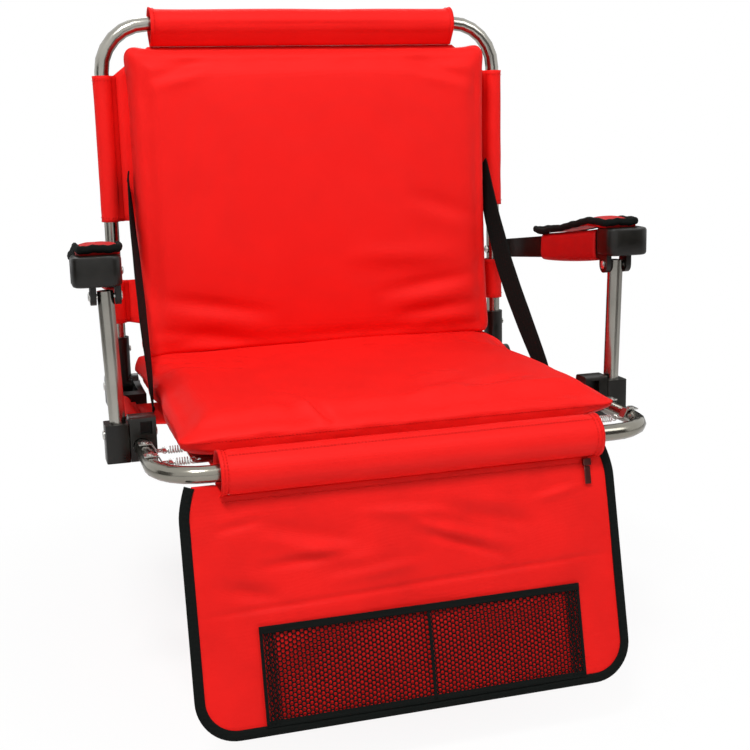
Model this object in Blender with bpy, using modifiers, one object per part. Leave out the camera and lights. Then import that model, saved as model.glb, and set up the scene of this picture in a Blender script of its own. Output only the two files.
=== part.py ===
"""Folding stadium chair: aluminium tube frames, plastic hinge mouldings, sewn slings, cushions and a front flap.

Metres, +Z up, the sitter faces -Y. The origin lies on the bench, midway between the two rear feet, under the
axis of the back hinge. Left is -X. Every size that can be set by itself is a named value below.
"""

import math

import bmesh
import bpy
from mathutils import Vector

# Clearances
GAP = 0.0003
RUNNING_GAP = 0.0004
SWING_GAP = 0.0008

# Tubes
TUBE_R = 0.008
TUBE_WALL = 0.0015
BEND_STEPS = 6

# Seat frame: a U of tube, open at the back, with its axis RAIL_Z over the bench
RAIL_Z = 0.016
RAIL_X = 0.242
FRONT_BAR_Y = -0.395
SEAT_CORNER_R = 0.045
RAIL_END_GAP = 0.007

# Back frame: an upside-down U of tube
BACK_X = 0.233
BACK_HEIGHT = 0.407
BACK_CORNER_R = 0.052
HINGE_Z = 0.021

# Rear hinge mouldings
SOCKET_R = 0.0114
SOCKET_LENGTH = 0.057
TUBE_SEAT = 0.015
KNUCKLE_R = 0.0118
CHEEK_THICKNESS = 0.0072
FOOT_FLOOR = 0.0082
FOOT_BLOCK_LENGTH = 0.018
FOOT_BLOCK_TOP = 0.026
CHEEK_TOP_R = 0.0125
HINGE_PIN_R = 0.003
HINGE_PIN_HEAD = (0.0056, 0.0018)
CROSS_RIVET_R = 0.0017
CROSS_RIVET_HEAD = (0.0036, 0.0014)
CROSS_RIVET_RISE = 0.043

# Side posts and their brackets
POST_X = 0.2625
POST_Y = -0.262
POST_SPLAY = math.radians(1.6)
POST_PIVOT_RISE = 0.0112
POST_LENGTH = 0.1344
POST_TOP_OVERRUN = 0.005
POST_SEAT = 0.027
BRACKET_DEPTH = 0.025
BRACKET_TOP = 0.0385
BLOCK_OUTER_WALL = 0.005
BLOCK_LIFT = 0.001
CLAMP_TOP = 0.044
CLAMP_WALL = 0.0025
CLAMP_INNER_REACH = 0.0148
POST_PIN_R = 0.0025
POST_PIN_HEAD = (0.005, 0.0016)
TOP_RIVET_HEAD = (0.0046, 0.0016)

# Arms
ARM_REAR_RISE = POST_LENGTH
ARM_BAR_HEIGHT = 0.022
ARM_BAR_THICKNESS = 0.010
ARM_BAR_REAR_DROP = 0.0105
ARM_TOP_RISE = 0.028
ARM_BOTTOM_RISE = 0.0225
ARM_SIDE_GAP = 0.0011
ARM_SPLAY = 0.008
ARM_REAR_R = 0.011
ARM_PIN_R = 0.0025
ARM_PIN_HEAD = (0.005, 0.0016)
ARM_BOSS_R = 0.0078
CAP_WIDTH = 0.0465
CAP_DEPTH = 0.037
CAP_HEIGHT = 0.0288
CAP_OUTBOARD = 0.0073
CAP_CORNER_R = 0.010
CAP_CLEARANCE = 0.0102
EAR_THICKNESS = 0.0055
EAR_R = 0.0085

# Arm covers and pads
COVER_REAR_Y = -0.116
COVER_THICKNESS = 0.0026
PAD_REAR_Y = -0.092
PAD_FRONT_Y = -0.267
PAD_WIDTH = 0.044
PAD_THICKNESS = 0.009
PAD_X = 0.2665
PAD_SPLAY = 0.002

# Cloth
CLOTH = 0.0024
SLEEVE_ROLL_R = 0.0205
FRONT_SLEEVE_WIDTH = 0.368
FRONT_CLOTH_X = -0.006
TOP_SLEEVE_WIDTH = 0.356
TOP_SLEEVE_R = 0.0165
TOP_SLEEVE_TAIL = 0.0245
BACK_SLING_BOTTOM = 0.092
UPPER_SLEEVE_Z = (0.211, 0.3725)
LOWER_TAB_Z = (0.095, 0.1435)
SEAT_SLING_Z = 0.0145
SEAT_SLING_REAR_Y = -0.030
SEAT_BAND_Y = (-0.176, -0.086)

# Cushions
SEAT_CUSHION_TO_RAIL = 0.0275
SEAT_CUSHION_Y = (-0.372, -0.012)
SEAT_CUSHION_THICKNESS = 0.040
BACK_CUSHION_TO_TUBE = 0.0245
BACK_CUSHION_Z = (0.0592, 0.399)
BACK_CUSHION_THICKNESS = 0.050
CUSHION_EDGE = 0.021
CUSHION_CROWN = 0.007
CUSHION_DRAW_IN = 0.004
CUSHION_CORNER_R = 0.022
CUSHION_SIDE_STEPS = 8
CUSHION_FLARE = 0.002

# Back straps
STRAP_WIDTH = 0.025
STRAP_THICKNESS = 0.0017
STRAP_TOP_Z = 0.262
STRAP_FOOT_Y = -0.160
STRAP_FOOT_RISE = 0.011
STRAP_BOW = 0.020
STRAP_TWIST = {"left": 0, "right": 28}  # degrees, at the middle of each strap
STRAP_STEPS = 8

# Springs between the side rails and the seat sling
SPRING_YS = (-0.345, -0.300)
SPRING_COIL_R = 0.0034
SPRING_WIRE_R = 0.0006
SPRING_TURNS = 6
SPRING_PITCH = 0.0024
SPRING_POINTS = 8
HOOK_R = 0.0030
TAB_THICKNESS = 0.0012
TAB_WIDTH = 0.010
TAB_HOLE_R = 0.0028
TAB_LIP = 0.0032
TAB_REST = 0.006
EDGE_PLATE_WIDTH = 0.020
EDGE_PLATE_LAP = 0.0026

# Front flap, hanging a little forward of plumb
FLAP_TILT = math.radians(13)
FLAP_X = -0.0175
FLAP_WIDTH = 0.416
FLAP_LENGTH = 0.234
FLAP_CORNER_R = 0.036
FLAP_THICKNESS = 0.0024
FLAP_FOLD = 0.004
FLAP_COLUMNS = 14
FLAP_ROWS = 8
FLAP_CORNER_ROWS = 6
BINDING_WIDTH = 0.009
BINDING_THICKNESS = 0.0048

# Mesh pocket on the flap
NET_WIDTH = 0.310
NET_HEIGHT = 0.0860
NET_X = 0.0067
NET_THICKNESS = 0.0016
NET_COLUMNS = 18
NET_ROWS = 5
NET_BORDER = 0.006
NET_STRAND = 0.0038
NET_BULGE = 0.006

# Zip slider and pull
ZIP_TO_FLAP_EDGE = 0.0265
SLIDER_SIZE = (0.008, 0.0042, 0.007)
PULL_LENGTH = 0.017
PULL_WIDTH = 0.006
PULL_THICKNESS = 0.0016
PULL_CLEARANCE = 0.0006

# Counts of faces round the round pieces
TUBE_SIDES = 2
ROUND_STEPS = 20
PIN_STEPS = 10
BORE_TURN = 7

# Places worked out from the sizes above
BACK_TOP_Z = HINGE_Z + BACK_HEIGHT
REAR_FOOT_HALF = SOCKET_R + GAP + CHEEK_THICKNESS
RAIL_END_Y = -(SOCKET_LENGTH + RAIL_END_GAP)
POST_PIVOT_Z = RAIL_Z + POST_PIVOT_RISE
POST_TOP_Z = POST_PIVOT_Z + POST_LENGTH
ARM_REAR_Z = HINGE_Z + ARM_REAR_RISE
SLEEVE_INNER_R = TUBE_R + RUNNING_GAP
SLEEVE_OUTER_R = SLEEVE_INNER_R + CLOTH
ARM_INNER_X = BACK_X + SLEEVE_OUTER_R + ARM_SIDE_GAP
POST_TOP_X = POST_X + math.tan(POST_SPLAY) * (POST_TOP_Z - BRACKET_TOP)
CAP_X = POST_TOP_X + CAP_OUTBOARD
CAP_BOTTOM_Z = POST_TOP_Z + CAP_CLEARANCE
CLAMP_OUTER_X = RAIL_X + TUBE_R + CLAMP_WALL
SPRING_Z = SEAT_SLING_Z + CLOTH / 2 + GAP + TAB_THICKNESS / 2
FLAP_TOP = SLEEVE_ROLL_R + SWING_GAP


# Scene and materials

def clear_scene():
    """Empties the scene that the script starts in."""
    for obj in list(bpy.data.objects):
        bpy.data.objects.remove(obj, do_unlink=True)


def new_collection(name):
    collection = bpy.data.collections.new(name)
    bpy.context.scene.collection.children.link(collection)
    return collection


def material(name, colour, roughness, metallic=0.0):
    made = bpy.data.materials.get(name)
    if made:
        return made
    made = bpy.data.materials.new(name)
    made.use_nodes = True
    shader = made.node_tree.nodes["Principled BSDF"]
    shader.inputs["Base Color"].default_value = (*colour, 1.0)
    shader.inputs["Roughness"].default_value = roughness
    shader.inputs["Metallic"].default_value = metallic
    return made


def tube_metal():
    return material("polished_aluminium", (0.80, 0.80, 0.79), 0.24, 1.0)


def steel():
    return material("bright_steel", (0.72, 0.71, 0.69), 0.22, 1.0)


def black_plastic():
    return material("black_plastic", (0.028, 0.026, 0.022), 0.42)


def red_cloth():
    return material("red_cloth", (0.82, 0.016, 0.012), 0.62)


def black_webbing():
    return material("black_webbing", (0.012, 0.012, 0.012), 0.75)


def black_net():
    return material("black_net", (0.018, 0.014, 0.014), 0.7)


# Building blocks

def place(name, mesh, finish, collection, smooth_angle=35):
    """Makes one named object of a mesh, smooth where its faces meet at a small angle."""
    obj = bpy.data.objects.new(name, mesh)
    collection.objects.link(obj)
    if finish:
        mesh.materials.append(finish)
    mesh.shade_smooth()
    mesh.set_sharp_from_angle(angle=math.radians(smooth_angle))
    return obj


def mesh_from(shape, name):
    """Turns a finished bmesh into mesh data with its faces facing out."""
    shape.normal_update()
    bmesh.ops.recalc_face_normals(shape, faces=shape.faces)
    mesh = bpy.data.meshes.new(name)
    shape.to_mesh(mesh)
    shape.free()
    return mesh


def axis_frame(axis):
    """The two outline directions and the run direction for a prism along a named axis."""
    x, y, z = Vector((1, 0, 0)), Vector((0, 1, 0)), Vector((0, 0, 1))
    return {"X": (y, z, x), "Y": (x, z, y), "Z": (x, y, z)}[axis]


def prism(name, outline, axis, low, high, finish, collection, bevel=0.0):
    """A flat outline carried along an axis, from low to high."""
    first, second, run = axis_frame(axis)
    shape = bmesh.new()
    corners = [shape.verts.new(first * u + second * v + run * low) for u, v in outline]
    face = shape.faces.new(corners)
    made = bmesh.ops.extrude_face_region(shape, geom=[face])
    moved = [item for item in made["geom"] if isinstance(item, bmesh.types.BMVert)]
    bmesh.ops.translate(shape, verts=moved, vec=run * (high - low))
    obj = place(name, mesh_from(shape, name), finish, collection)
    if bevel:
        round_edges(obj, bevel)
    return obj


def round_edges(obj, width, segments=2, limit=40):
    bevel = obj.modifiers.new("rounded edges", "BEVEL")
    bevel.width = width
    bevel.segments = segments
    bevel.limit_method = "ANGLE"
    bevel.angle_limit = math.radians(limit)
    bevel.use_clamp_overlap = True


def box_outline(u_low, u_high, v_low, v_high):
    return [(u_low, v_low), (u_high, v_low), (u_high, v_high), (u_low, v_high)]


def arc(centre, radius, start, end, steps):
    """Points on an arc, angles in degrees."""
    points = []
    for step in range(steps + 1):
        angle = math.radians(start + (end - start) * step / steps)
        points.append((centre[0] + radius * math.cos(angle), centre[1] + radius * math.sin(angle)))
    return points


def rounded_outline(u_low, u_high, v_low, v_high, radius, steps=4):
    """A rectangle with four round corners."""
    points = arc((u_high - radius, v_high - radius), radius, 0, 90, steps)
    points += arc((u_low + radius, v_high - radius), radius, 90, 180, steps)
    points += arc((u_low + radius, v_low + radius), radius, 180, 270, steps)
    points += arc((u_high - radius, v_low + radius), radius, 270, 360, steps)
    return points


def circle(centre, radius, steps=ROUND_STEPS, turn=0):
    """Evenly spaced points round a circle, the first of them turned by some degrees."""
    return arc(centre, radius, turn, turn + 360 * (steps - 1) / steps, steps - 1)


def modify(obj, other, operation):
    boolean = obj.modifiers.new(operation.lower(), "BOOLEAN")
    boolean.operation = operation
    boolean.solver = "EXACT"
    boolean.object = other


def as_cutter(obj):
    obj.hide_render = True
    obj.display_type = "WIRE"
    return obj


def cut_round(obj, axis, centre, radius, low, high, steps=PIN_STEPS):
    """Drills a round hole through an object, along an axis."""
    name = obj.name + "_bore_%d" % len(obj.modifiers)
    outline = circle(centre, radius, steps, BORE_TURN)
    modify(obj, as_cutter(prism(name, outline, axis, low, high, None, CUTTERS)), "DIFFERENCE")


def cut_box(obj, axis, outline, low, high):
    name = obj.name + "_cut_%d" % len(obj.modifiers)
    modify(obj, as_cutter(prism(name, outline, axis, low, high, None, CUTTERS)), "DIFFERENCE")


def join_prism(obj, axis, outline, low, high):
    """Adds a prism to an object as one body."""
    name = obj.name + "_lug_%d" % len(obj.modifiers)
    modify(obj, as_cutter(prism(name, outline, axis, low, high, None, CUTTERS)), "UNION")


def swept_curve(name, points, radius, resolution, caps):
    """A round bar along points, as a mesh object's data."""
    data = bpy.data.curves.new(name, "CURVE")
    data.dimensions = "3D"
    data.bevel_depth = radius
    data.bevel_resolution = resolution
    data.use_fill_caps = caps
    spline = data.splines.new("POLY")
    spline.points.add(len(points) - 1)
    for place_, point in zip(spline.points, points):
        place_.co = (*point, 1.0)
    curve = bpy.data.objects.new(name, data)
    bpy.context.scene.collection.objects.link(curve)
    bpy.context.view_layer.update()
    graph = bpy.context.evaluated_depsgraph_get()
    mesh = bpy.data.meshes.new_from_object(curve.evaluated_get(graph))
    mesh.name = name
    bpy.data.objects.remove(curve)
    shape = bmesh.new()
    shape.from_mesh(mesh)
    bmesh.ops.remove_doubles(shape, verts=shape.verts, dist=0.00001)
    bmesh.ops.recalc_face_normals(shape, faces=shape.faces)
    shape.to_mesh(mesh)
    shape.free()
    return mesh


def bar(name, points, radius, finish, collection, resolution=TUBE_SIDES):
    """A solid round bar or wire."""
    return place(name, swept_curve(name, points, radius, resolution, True), finish, collection)


def pipe(name, points, radius, wall, finish, collection, resolution=TUBE_SIDES + 1):
    """A hollow tube with open ends."""
    obj = place(name, swept_curve(name, points, radius, resolution, False), finish, collection)
    shell = obj.modifiers.new("tube wall", "SOLIDIFY")
    shell.thickness = wall
    shell.offset = -1
    shell.use_even_offset = True
    return obj


def u_path(half, run_low, run_high, corner):
    """A U in two dimensions: up one side from run_low, across at run_high, and down the other side."""
    inner = half - corner
    side = 1 if run_high > run_low else -1
    left = arc((-inner, run_high - side * corner), corner, 180, 180 - side * 90, BEND_STEPS)
    right = arc((inner, run_high - side * corner), corner, side * 90, 0, BEND_STEPS)
    return [(-half, run_low)] + left + right + [(half, run_low)]


def turned(name, profile, origin, axis, finish, collection, steps=PIN_STEPS):
    """A turned piece: profile of (radius, run) points from the far end back to the near one, about an axis."""
    shape = bmesh.new()
    points = [shape.verts.new((radius, 0, run)) for radius, run in profile]
    for first, second in zip(points, points[1:]):
        shape.edges.new((first, second))
    mesh = bpy.data.meshes.new(name)
    shape.to_mesh(mesh)
    shape.free()
    obj = place(name, mesh, finish, collection)
    screw = obj.modifiers.new("turned", "SCREW")
    screw.steps = steps
    screw.render_steps = steps
    screw.use_merge_vertices = True
    screw.merge_threshold = 0.00001
    obj.location = origin
    turn = {"X": Vector((1, 0, 0)), "Y": Vector((0, 1, 0)), "Z": Vector((0, 0, 1))}[axis]
    obj.rotation_euler = Vector((0, 0, 1)).rotation_difference(turn).to_euler()
    return obj


def pin_with_heads(name, x_low, x_high, y, z, radius, head_size):
    """A headed steel pin along X, with its heads, of some radius and height, outside x_low and x_high."""
    head_r, head = head_size
    profile = [
        (0.0, x_high + head), (head_r * 0.72, x_high + head), (head_r, x_high + head * 0.4), (head_r, x_high),
        (radius, x_high), (radius, x_low),
        (head_r, x_low), (head_r, x_low - head * 0.4), (head_r * 0.72, x_low - head), (0.0, x_low - head),
    ]
    return turned(name, profile, (0, y, z), "X", steel(), CHAIR)


def strip(name, path, axis, low, high, thickness, finish, collection):
    """A band of cloth or sheet: a path in two dimensions, carried along an axis, then thickened both ways."""
    first, second, run = axis_frame(axis)
    shape = bmesh.new()
    near = [shape.verts.new(first * u + second * v + run * low) for u, v in path]
    far = [shape.verts.new(first * u + second * v + run * high) for u, v in path]
    for place_ in range(len(path) - 1):
        shape.faces.new((near[place_], near[place_ + 1], far[place_ + 1], far[place_]))
    obj = place(name, mesh_from(shape, name), finish, collection)
    shell = obj.modifiers.new("thickness", "SOLIDIFY")
    shell.thickness = thickness
    shell.offset = 0
    shell.use_even_offset = True
    return obj


def sides():
    """The two sides of the chair, as a name and a sign along X."""
    return (("left", -1), ("right", 1))


def span(side, inner, outer):
    """An X range on one side, given as distances from the middle."""
    return sorted((side * inner, side * outer))


# Seat frame and feet

def seat_frame():
    path = u_path(RAIL_X, RAIL_END_Y, FRONT_BAR_Y, SEAT_CORNER_R)
    points = [(x, y, RAIL_Z) for x, y in path]
    return pipe("seat_frame", points, TUBE_R, TUBE_WALL, tube_metal(), CHAIR)


def rear_foot(label, side):
    """A channel that the back socket folds into: a floor, two cheeks for the hinge pin, and a block on the rail."""
    inner = BACK_X - REAR_FOOT_HALF
    outer = BACK_X + REAR_FOOT_HALF
    front = RAIL_END_Y - FOOT_BLOCK_LENGTH
    profile = [(CHEEK_TOP_R, 0.0)]
    profile += arc((0, HINGE_Z), CHEEK_TOP_R, 0, 150, 8)
    profile += [(RAIL_END_Y + 0.004, FOOT_BLOCK_TOP), (front, FOOT_BLOCK_TOP), (front, 0.0)]
    low, high = span(side, inner, outer)
    foot = prism("rear_foot_" + label, profile, "X", low, high, black_plastic(), CHAIR)
    slot_low, slot_high = span(side, BACK_X - SOCKET_R - GAP, BACK_X + SOCKET_R + GAP)
    slot = box_outline(RAIL_END_Y + 0.002, CHEEK_TOP_R + 0.01, FOOT_FLOOR, HINGE_Z + 0.05)
    cut_box(foot, "X", slot, slot_low, slot_high)
    cut_round(foot, "Y", (side * RAIL_X, RAIL_Z), TUBE_R + GAP, front - 0.01, RAIL_END_Y + GAP, ROUND_STEPS)
    cut_round(foot, "X", (0, HINGE_Z), HINGE_PIN_R + GAP, low - 0.01, high + 0.01)
    return foot


def hinge_pin(label, side):
    low, high = span(side, BACK_X - REAR_FOOT_HALF - GAP, BACK_X + REAR_FOOT_HALF + GAP)
    pin_with_heads("hinge_pin_" + label, low, high, 0, HINGE_Z, HINGE_PIN_R, HINGE_PIN_HEAD)


def rail_clamp(label, side):
    """A foot block round the side rail, with a lug above it for the post's pivot pin."""
    low, high = span(side, RAIL_X - CLAMP_INNER_REACH, CLAMP_OUTER_X)
    y_low, y_high = POST_Y - BRACKET_DEPTH / 2, POST_Y + BRACKET_DEPTH / 2
    profile = rounded_outline(y_low, y_high, 0.0, CLAMP_TOP, 0.004, 2)
    clamp = prism("rail_clamp_" + label, profile, "X", low, high, black_plastic(), CHAIR)
    hollow_low, hollow_high = span(side, RAIL_X - CLAMP_INNER_REACH + 0.004, CLAMP_OUTER_X - 0.010)
    hollow = box_outline(y_low - 0.01, y_low + 0.008, RAIL_Z + TUBE_R + 0.003, CLAMP_TOP - 0.004)
    cut_box(clamp, "X", hollow, hollow_low, hollow_high)
    cut_round(clamp, "Y", (side * RAIL_X, RAIL_Z), TUBE_R + GAP, y_low - 0.01, y_high + 0.01, ROUND_STEPS)
    cut_round(clamp, "X", (POST_Y, POST_PIVOT_Z), POST_PIN_R + GAP, low - 0.01, high + 0.01)
    return clamp


def post_pin(label, side):
    low, high = span(side, RAIL_X - CLAMP_INNER_REACH - GAP, POST_X + TUBE_R + BLOCK_OUTER_WALL + GAP)
    pin_with_heads("post_pin_" + label, low, high, POST_Y, POST_PIVOT_Z, POST_PIN_R, POST_PIN_HEAD)


# Back frame and its sockets

def back_frame():
    path = u_path(BACK_X, HINGE_Z + TUBE_SEAT, BACK_TOP_Z, BACK_CORNER_R)
    points = [(x, 0.0, z) for x, z in path]
    frame = pipe("back_frame", points, TUBE_R, TUBE_WALL, tube_metal(), CHAIR)
    for label, side in sides():
        low, high = span(side, BACK_X - 0.012, BACK_X + 0.012)
        cut_round(frame, "X", (0, ARM_REAR_Z), ARM_PIN_R + GAP, low, high)
        cut_round(frame, "X", (0, HINGE_Z + CROSS_RIVET_RISE), CROSS_RIVET_R + GAP, low, high, 8)
    return frame


def back_socket(label, side):
    """The moulding that holds a foot of the back frame and turns on the hinge pin."""
    outline = circle((side * BACK_X, 0), SOCKET_R)
    foot_z = HINGE_Z - KNUCKLE_R / 3
    top_z = HINGE_Z + SOCKET_LENGTH
    socket = prism("back_socket_" + label, outline, "Z", foot_z, top_z, black_plastic(), CHAIR)
    low, high = span(side, BACK_X - SOCKET_R + GAP, BACK_X + SOCKET_R - GAP)
    join_prism(socket, "X", circle((0, HINGE_Z), KNUCKLE_R), low, high)
    bore_floor = HINGE_Z + TUBE_SEAT - GAP
    cut_round(socket, "Z", (side * BACK_X, 0), TUBE_R + GAP, bore_floor, top_z + 0.01, ROUND_STEPS)
    cut_round(socket, "X", (0, HINGE_Z), HINGE_PIN_R + GAP, low - 0.01, high + 0.01)
    cut_round(
        socket, "X", (0, HINGE_Z + CROSS_RIVET_RISE), CROSS_RIVET_R + GAP, low - 0.01, high + 0.01, 8
    )
    return socket


def cross_rivet(label, side):
    """The rivet that ties the back frame's foot into its socket."""
    low, high = span(side, BACK_X - SOCKET_R - GAP, BACK_X + SOCKET_R + GAP)
    z = HINGE_Z + CROSS_RIVET_RISE
    pin_with_heads("cross_rivet_" + label, low, high, 0, z, CROSS_RIVET_R, CROSS_RIVET_HEAD)


# Posts

def post_axis(side, z):
    """A point on a post's axis, which leans outward towards its top."""
    return (side * (POST_X + math.tan(POST_SPLAY) * (z - BRACKET_TOP)), POST_Y, z)


def post_tube(label, side):
    bottom = BRACKET_TOP - POST_SEAT
    top = POST_TOP_Z + POST_TOP_OVERRUN
    points = [post_axis(side, bottom), post_axis(side, (bottom + top) / 2), post_axis(side, top)]
    post = pipe("post_" + label, points, TUBE_R, TUBE_WALL, tube_metal(), CHAIR)
    low, high = span(side, POST_X - 0.012, POST_X + 0.02)
    cut_round(post, "X", (POST_Y, POST_PIVOT_Z), POST_PIN_R + GAP, low, high)
    cut_round(post, "X", (POST_Y, POST_TOP_Z), POST_PIN_R + GAP, low, high)
    return post


def post_socket(label, side):
    """The square block at a post's foot. It turns on the post pin, beside the rail clamp."""
    low, high = span(side, CLAMP_OUTER_X + GAP, POST_X + TUBE_R + BLOCK_OUTER_WALL)
    y_low, y_high = POST_Y - BRACKET_DEPTH / 2, POST_Y + BRACKET_DEPTH / 2
    outline = rounded_outline(low, high, y_low, y_high, 0.002, 2)
    block = prism("post_socket_" + label, outline, "Z", BLOCK_LIFT, BRACKET_TOP, black_plastic(), CHAIR)
    bottom = BRACKET_TOP - POST_SEAT - GAP
    top = BRACKET_TOP + 0.02
    points = [post_axis(side, bottom), post_axis(side, top)]
    mesh = swept_curve(block.name + "_tube_bore", points, TUBE_R + GAP, TUBE_SIDES + 1, True)
    bore = as_cutter(place(block.name + "_tube_bore", mesh, None, CUTTERS))
    modify(block, bore, "DIFFERENCE")
    cut_round(block, "X", (POST_Y, POST_PIVOT_Z), POST_PIN_R + GAP, low - 0.01, high + 0.01)
    return block


# Arms

def arm(label, side):
    """An arm moulding: a flat bar that rises to a thick front cap, with two ears for the post's top."""
    cap_rear = POST_Y + CAP_DEPTH / 2
    cap_outline = rounded_outline(
        side * CAP_X - CAP_WIDTH / 2, side * CAP_X + CAP_WIDTH / 2,
        POST_Y - CAP_DEPTH / 2, cap_rear, CAP_CORNER_R,
    )
    cap = prism(
        "arm_" + label, cap_outline, "Z", CAP_BOTTOM_Z, CAP_BOTTOM_Z + CAP_HEIGHT, black_plastic(), CHAIR,
        bevel=0.003,
    )
    modify(cap, arm_bar(label, side, cap_rear), "UNION")
    for inner in (POST_TOP_X - TUBE_R - SWING_GAP - EAR_THICKNESS, POST_TOP_X + TUBE_R + SWING_GAP):
        low, high = span(side, inner, inner + EAR_THICKNESS)
        ear = [(POST_Y - EAR_R, CAP_BOTTOM_Z + 0.004)]
        ear += arc((POST_Y, POST_TOP_Z), EAR_R, 180, 360, 8)
        ear += [(POST_Y + EAR_R, CAP_BOTTOM_Z + 0.004)]
        join_prism(cap, "X", ear, low, high)
    boss_low, boss_high = span(side, BACK_X + TUBE_R + GAP, ARM_INNER_X + 0.004)
    join_prism(cap, "X", circle((0, ARM_REAR_Z), ARM_BOSS_R, 16), boss_low, boss_high)
    low, high = span(side, BACK_X, CAP_X + CAP_WIDTH)
    cut_round(cap, "X", (POST_Y, POST_TOP_Z), POST_PIN_R + GAP, low, high)
    cut_round(cap, "X", (0, ARM_REAR_Z), ARM_PIN_R + GAP, low, high)
    return cap


def arm_bar(label, side, cap_rear):
    """The flat bar of an arm, from round its rear pivot to inside the cap."""
    front, rear = cap_rear - 0.010, -0.006
    profile = [(front, arm_line(front)[0]), (front, arm_line(front)[1]), (rear, arm_line(rear)[1])]
    profile += arc((0, ARM_REAR_Z), ARM_REAR_R, 75, -75, 6)
    profile += [(rear, arm_line(rear)[0])]
    low, high = span(side, ARM_INNER_X, ARM_INNER_X + ARM_BAR_THICKNESS)
    shape_name = "arm_bar_" + label
    flat = prism(shape_name, profile, "X", low, high, None, CUTTERS)
    for vertex in flat.data.vertices:
        vertex.co.x += side * ARM_SPLAY * vertex.co.y / cap_rear
    return as_cutter(flat)


def arm_pin(label, side):
    low, high = span(side, BACK_X - TUBE_R - GAP, ARM_INNER_X + ARM_BAR_THICKNESS + GAP)
    pin_with_heads("arm_pin_" + label, low, high, 0, ARM_REAR_Z, ARM_PIN_R, ARM_PIN_HEAD)


def post_top_rivet(label, side):
    reach = TUBE_R + SWING_GAP + EAR_THICKNESS + GAP
    low, high = span(side, POST_TOP_X - reach, POST_TOP_X + reach)
    pin_with_heads("post_top_rivet_" + label, low, high, POST_Y, POST_TOP_Z, POST_PIN_R, TOP_RIVET_HEAD)


def arm_line(y):
    """The bar's bottom, its top and its inner distance from the middle, at a place along it."""
    share = y / (POST_Y + CAP_DEPTH / 2)
    rear_bottom = ARM_REAR_Z - ARM_BAR_REAR_DROP
    bottom = rear_bottom + ARM_BOTTOM_RISE * share
    top = rear_bottom + ARM_BAR_HEIGHT + ARM_TOP_RISE * share
    return bottom, top, ARM_INNER_X + ARM_SPLAY * share


def arm_cover(label, side):
    """The padded wrap round the bar between the rear part and the cap."""
    shape = bmesh.new()
    rings = []
    for y in (COVER_REAR_Y, (COVER_REAR_Y + POST_Y) / 2, POST_Y + CAP_DEPTH / 2 + 0.0006):
        bottom, top, inner = arm_line(y)
        loops = []
        for grow in (GAP + COVER_THICKNESS, GAP):
            outline = rounded_outline(
                inner - grow, inner + ARM_BAR_THICKNESS + grow,
                bottom - grow, top + grow, max(grow, 0.0004), 2,
            )
            loops.append([shape.verts.new((side * x, y, z)) for x, z in outline])
        rings.append(loops)
    count = len(rings[0][0])
    for near, far in zip(rings, rings[1:]):
        for layer in (0, 1):
            for place_ in range(count):
                nxt = (place_ + 1) % count
                shape.faces.new((near[layer][place_], near[layer][nxt], far[layer][nxt], far[layer][place_]))
    for loops in (rings[0], rings[-1]):
        for place_ in range(count):
            nxt = (place_ + 1) % count
            shape.faces.new((loops[0][place_], loops[0][nxt], loops[1][nxt], loops[1][place_]))
    return place("arm_cover_" + label, mesh_from(shape, "arm_cover"), red_cloth(), CHAIR)


def arm_pad(label, side):
    """The soft pad on top of an arm, which runs from mid-arm over the front cap."""
    columns, rows = 5, 9
    shape = bmesh.new()
    top, under = [], []
    for row in range(rows):
        along = row / (rows - 1)
        y = PAD_REAR_Y + (PAD_FRONT_Y - PAD_REAR_Y) * along
        middle = PAD_X + PAD_SPLAY * along
        base = pad_base(along)
        for column in range(columns):
            across = 2 * column / (columns - 1) - 1
            narrow = 1 - 0.08 * (2 * along - 1) ** 4
            x = side * (middle + across * PAD_WIDTH / 2 * narrow)
            puff = (1 - across ** 4) * (1 - (2 * along - 1) ** 6)
            thick = PAD_THICKNESS * (0.5 + 0.5 * puff)
            under.append(shape.verts.new((x, y, base)))
            top.append(shape.verts.new((x, y, base + thick)))
    close_grid(shape, top, under, columns, rows)
    return place("arm_pad_" + label, mesh_from(shape, "arm_pad"), red_cloth(), CHAIR, 80)


def pad_base(along):
    """Height of a pad's underside: over the cover first, then over the cap."""
    y = PAD_REAR_Y + (PAD_FRONT_Y - PAD_REAR_Y) * along
    over_cover = arm_line(min(y, COVER_REAR_Y))[1] + COVER_THICKNESS + 3 * GAP
    over_cap = CAP_BOTTOM_Z + CAP_HEIGHT + GAP
    cap_rear = POST_Y + CAP_DEPTH / 2
    share = min(1.0, max(0.0, (COVER_REAR_Y - y) / (COVER_REAR_Y - cap_rear - 0.012)))
    lift = max(0.0, over_cap - over_cover)
    return over_cover + lift * share ** 2 if y > cap_rear + 0.006 else over_cap


def close_grid(shape, top, under, columns, rows):
    """Closes two grids of points, one over the other, into one body."""
    def at(grid, column, row):
        return grid[row * columns + column]

    for row in range(rows - 1):
        for column in range(columns - 1):
            for grid in (top, under):
                shape.faces.new((
                    at(grid, column, row), at(grid, column + 1, row),
                    at(grid, column + 1, row + 1), at(grid, column, row + 1),
                ))
    for row in range(rows - 1):
        for column in (0, columns - 1):
            shape.faces.new((
                at(top, column, row), at(top, column, row + 1),
                at(under, column, row + 1), at(under, column, row),
            ))
    for column in range(columns - 1):
        for row in (0, rows - 1):
            shape.faces.new((
                at(top, column, row), at(top, column + 1, row),
                at(under, column + 1, row), at(under, column, row),
            ))


# Slings and sleeves

def sleeve_path(centre, side, meet):
    """Cloth from a panel round a tube and back to the panel: an open loop that nearly closes at meet."""
    radius = SLEEVE_INNER_R + CLOTH / 2
    opening = math.degrees(math.asin((CLOTH / 2 + 0.0006) / radius))
    start = 180 if side > 0 else 0
    round_tube = arc(centre, radius, start + opening, start + 360 - opening, 16)
    first, last = round_tube[0], round_tube[-1]
    return [(meet, first[1])] + round_tube + [(meet, last[1])]


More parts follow.
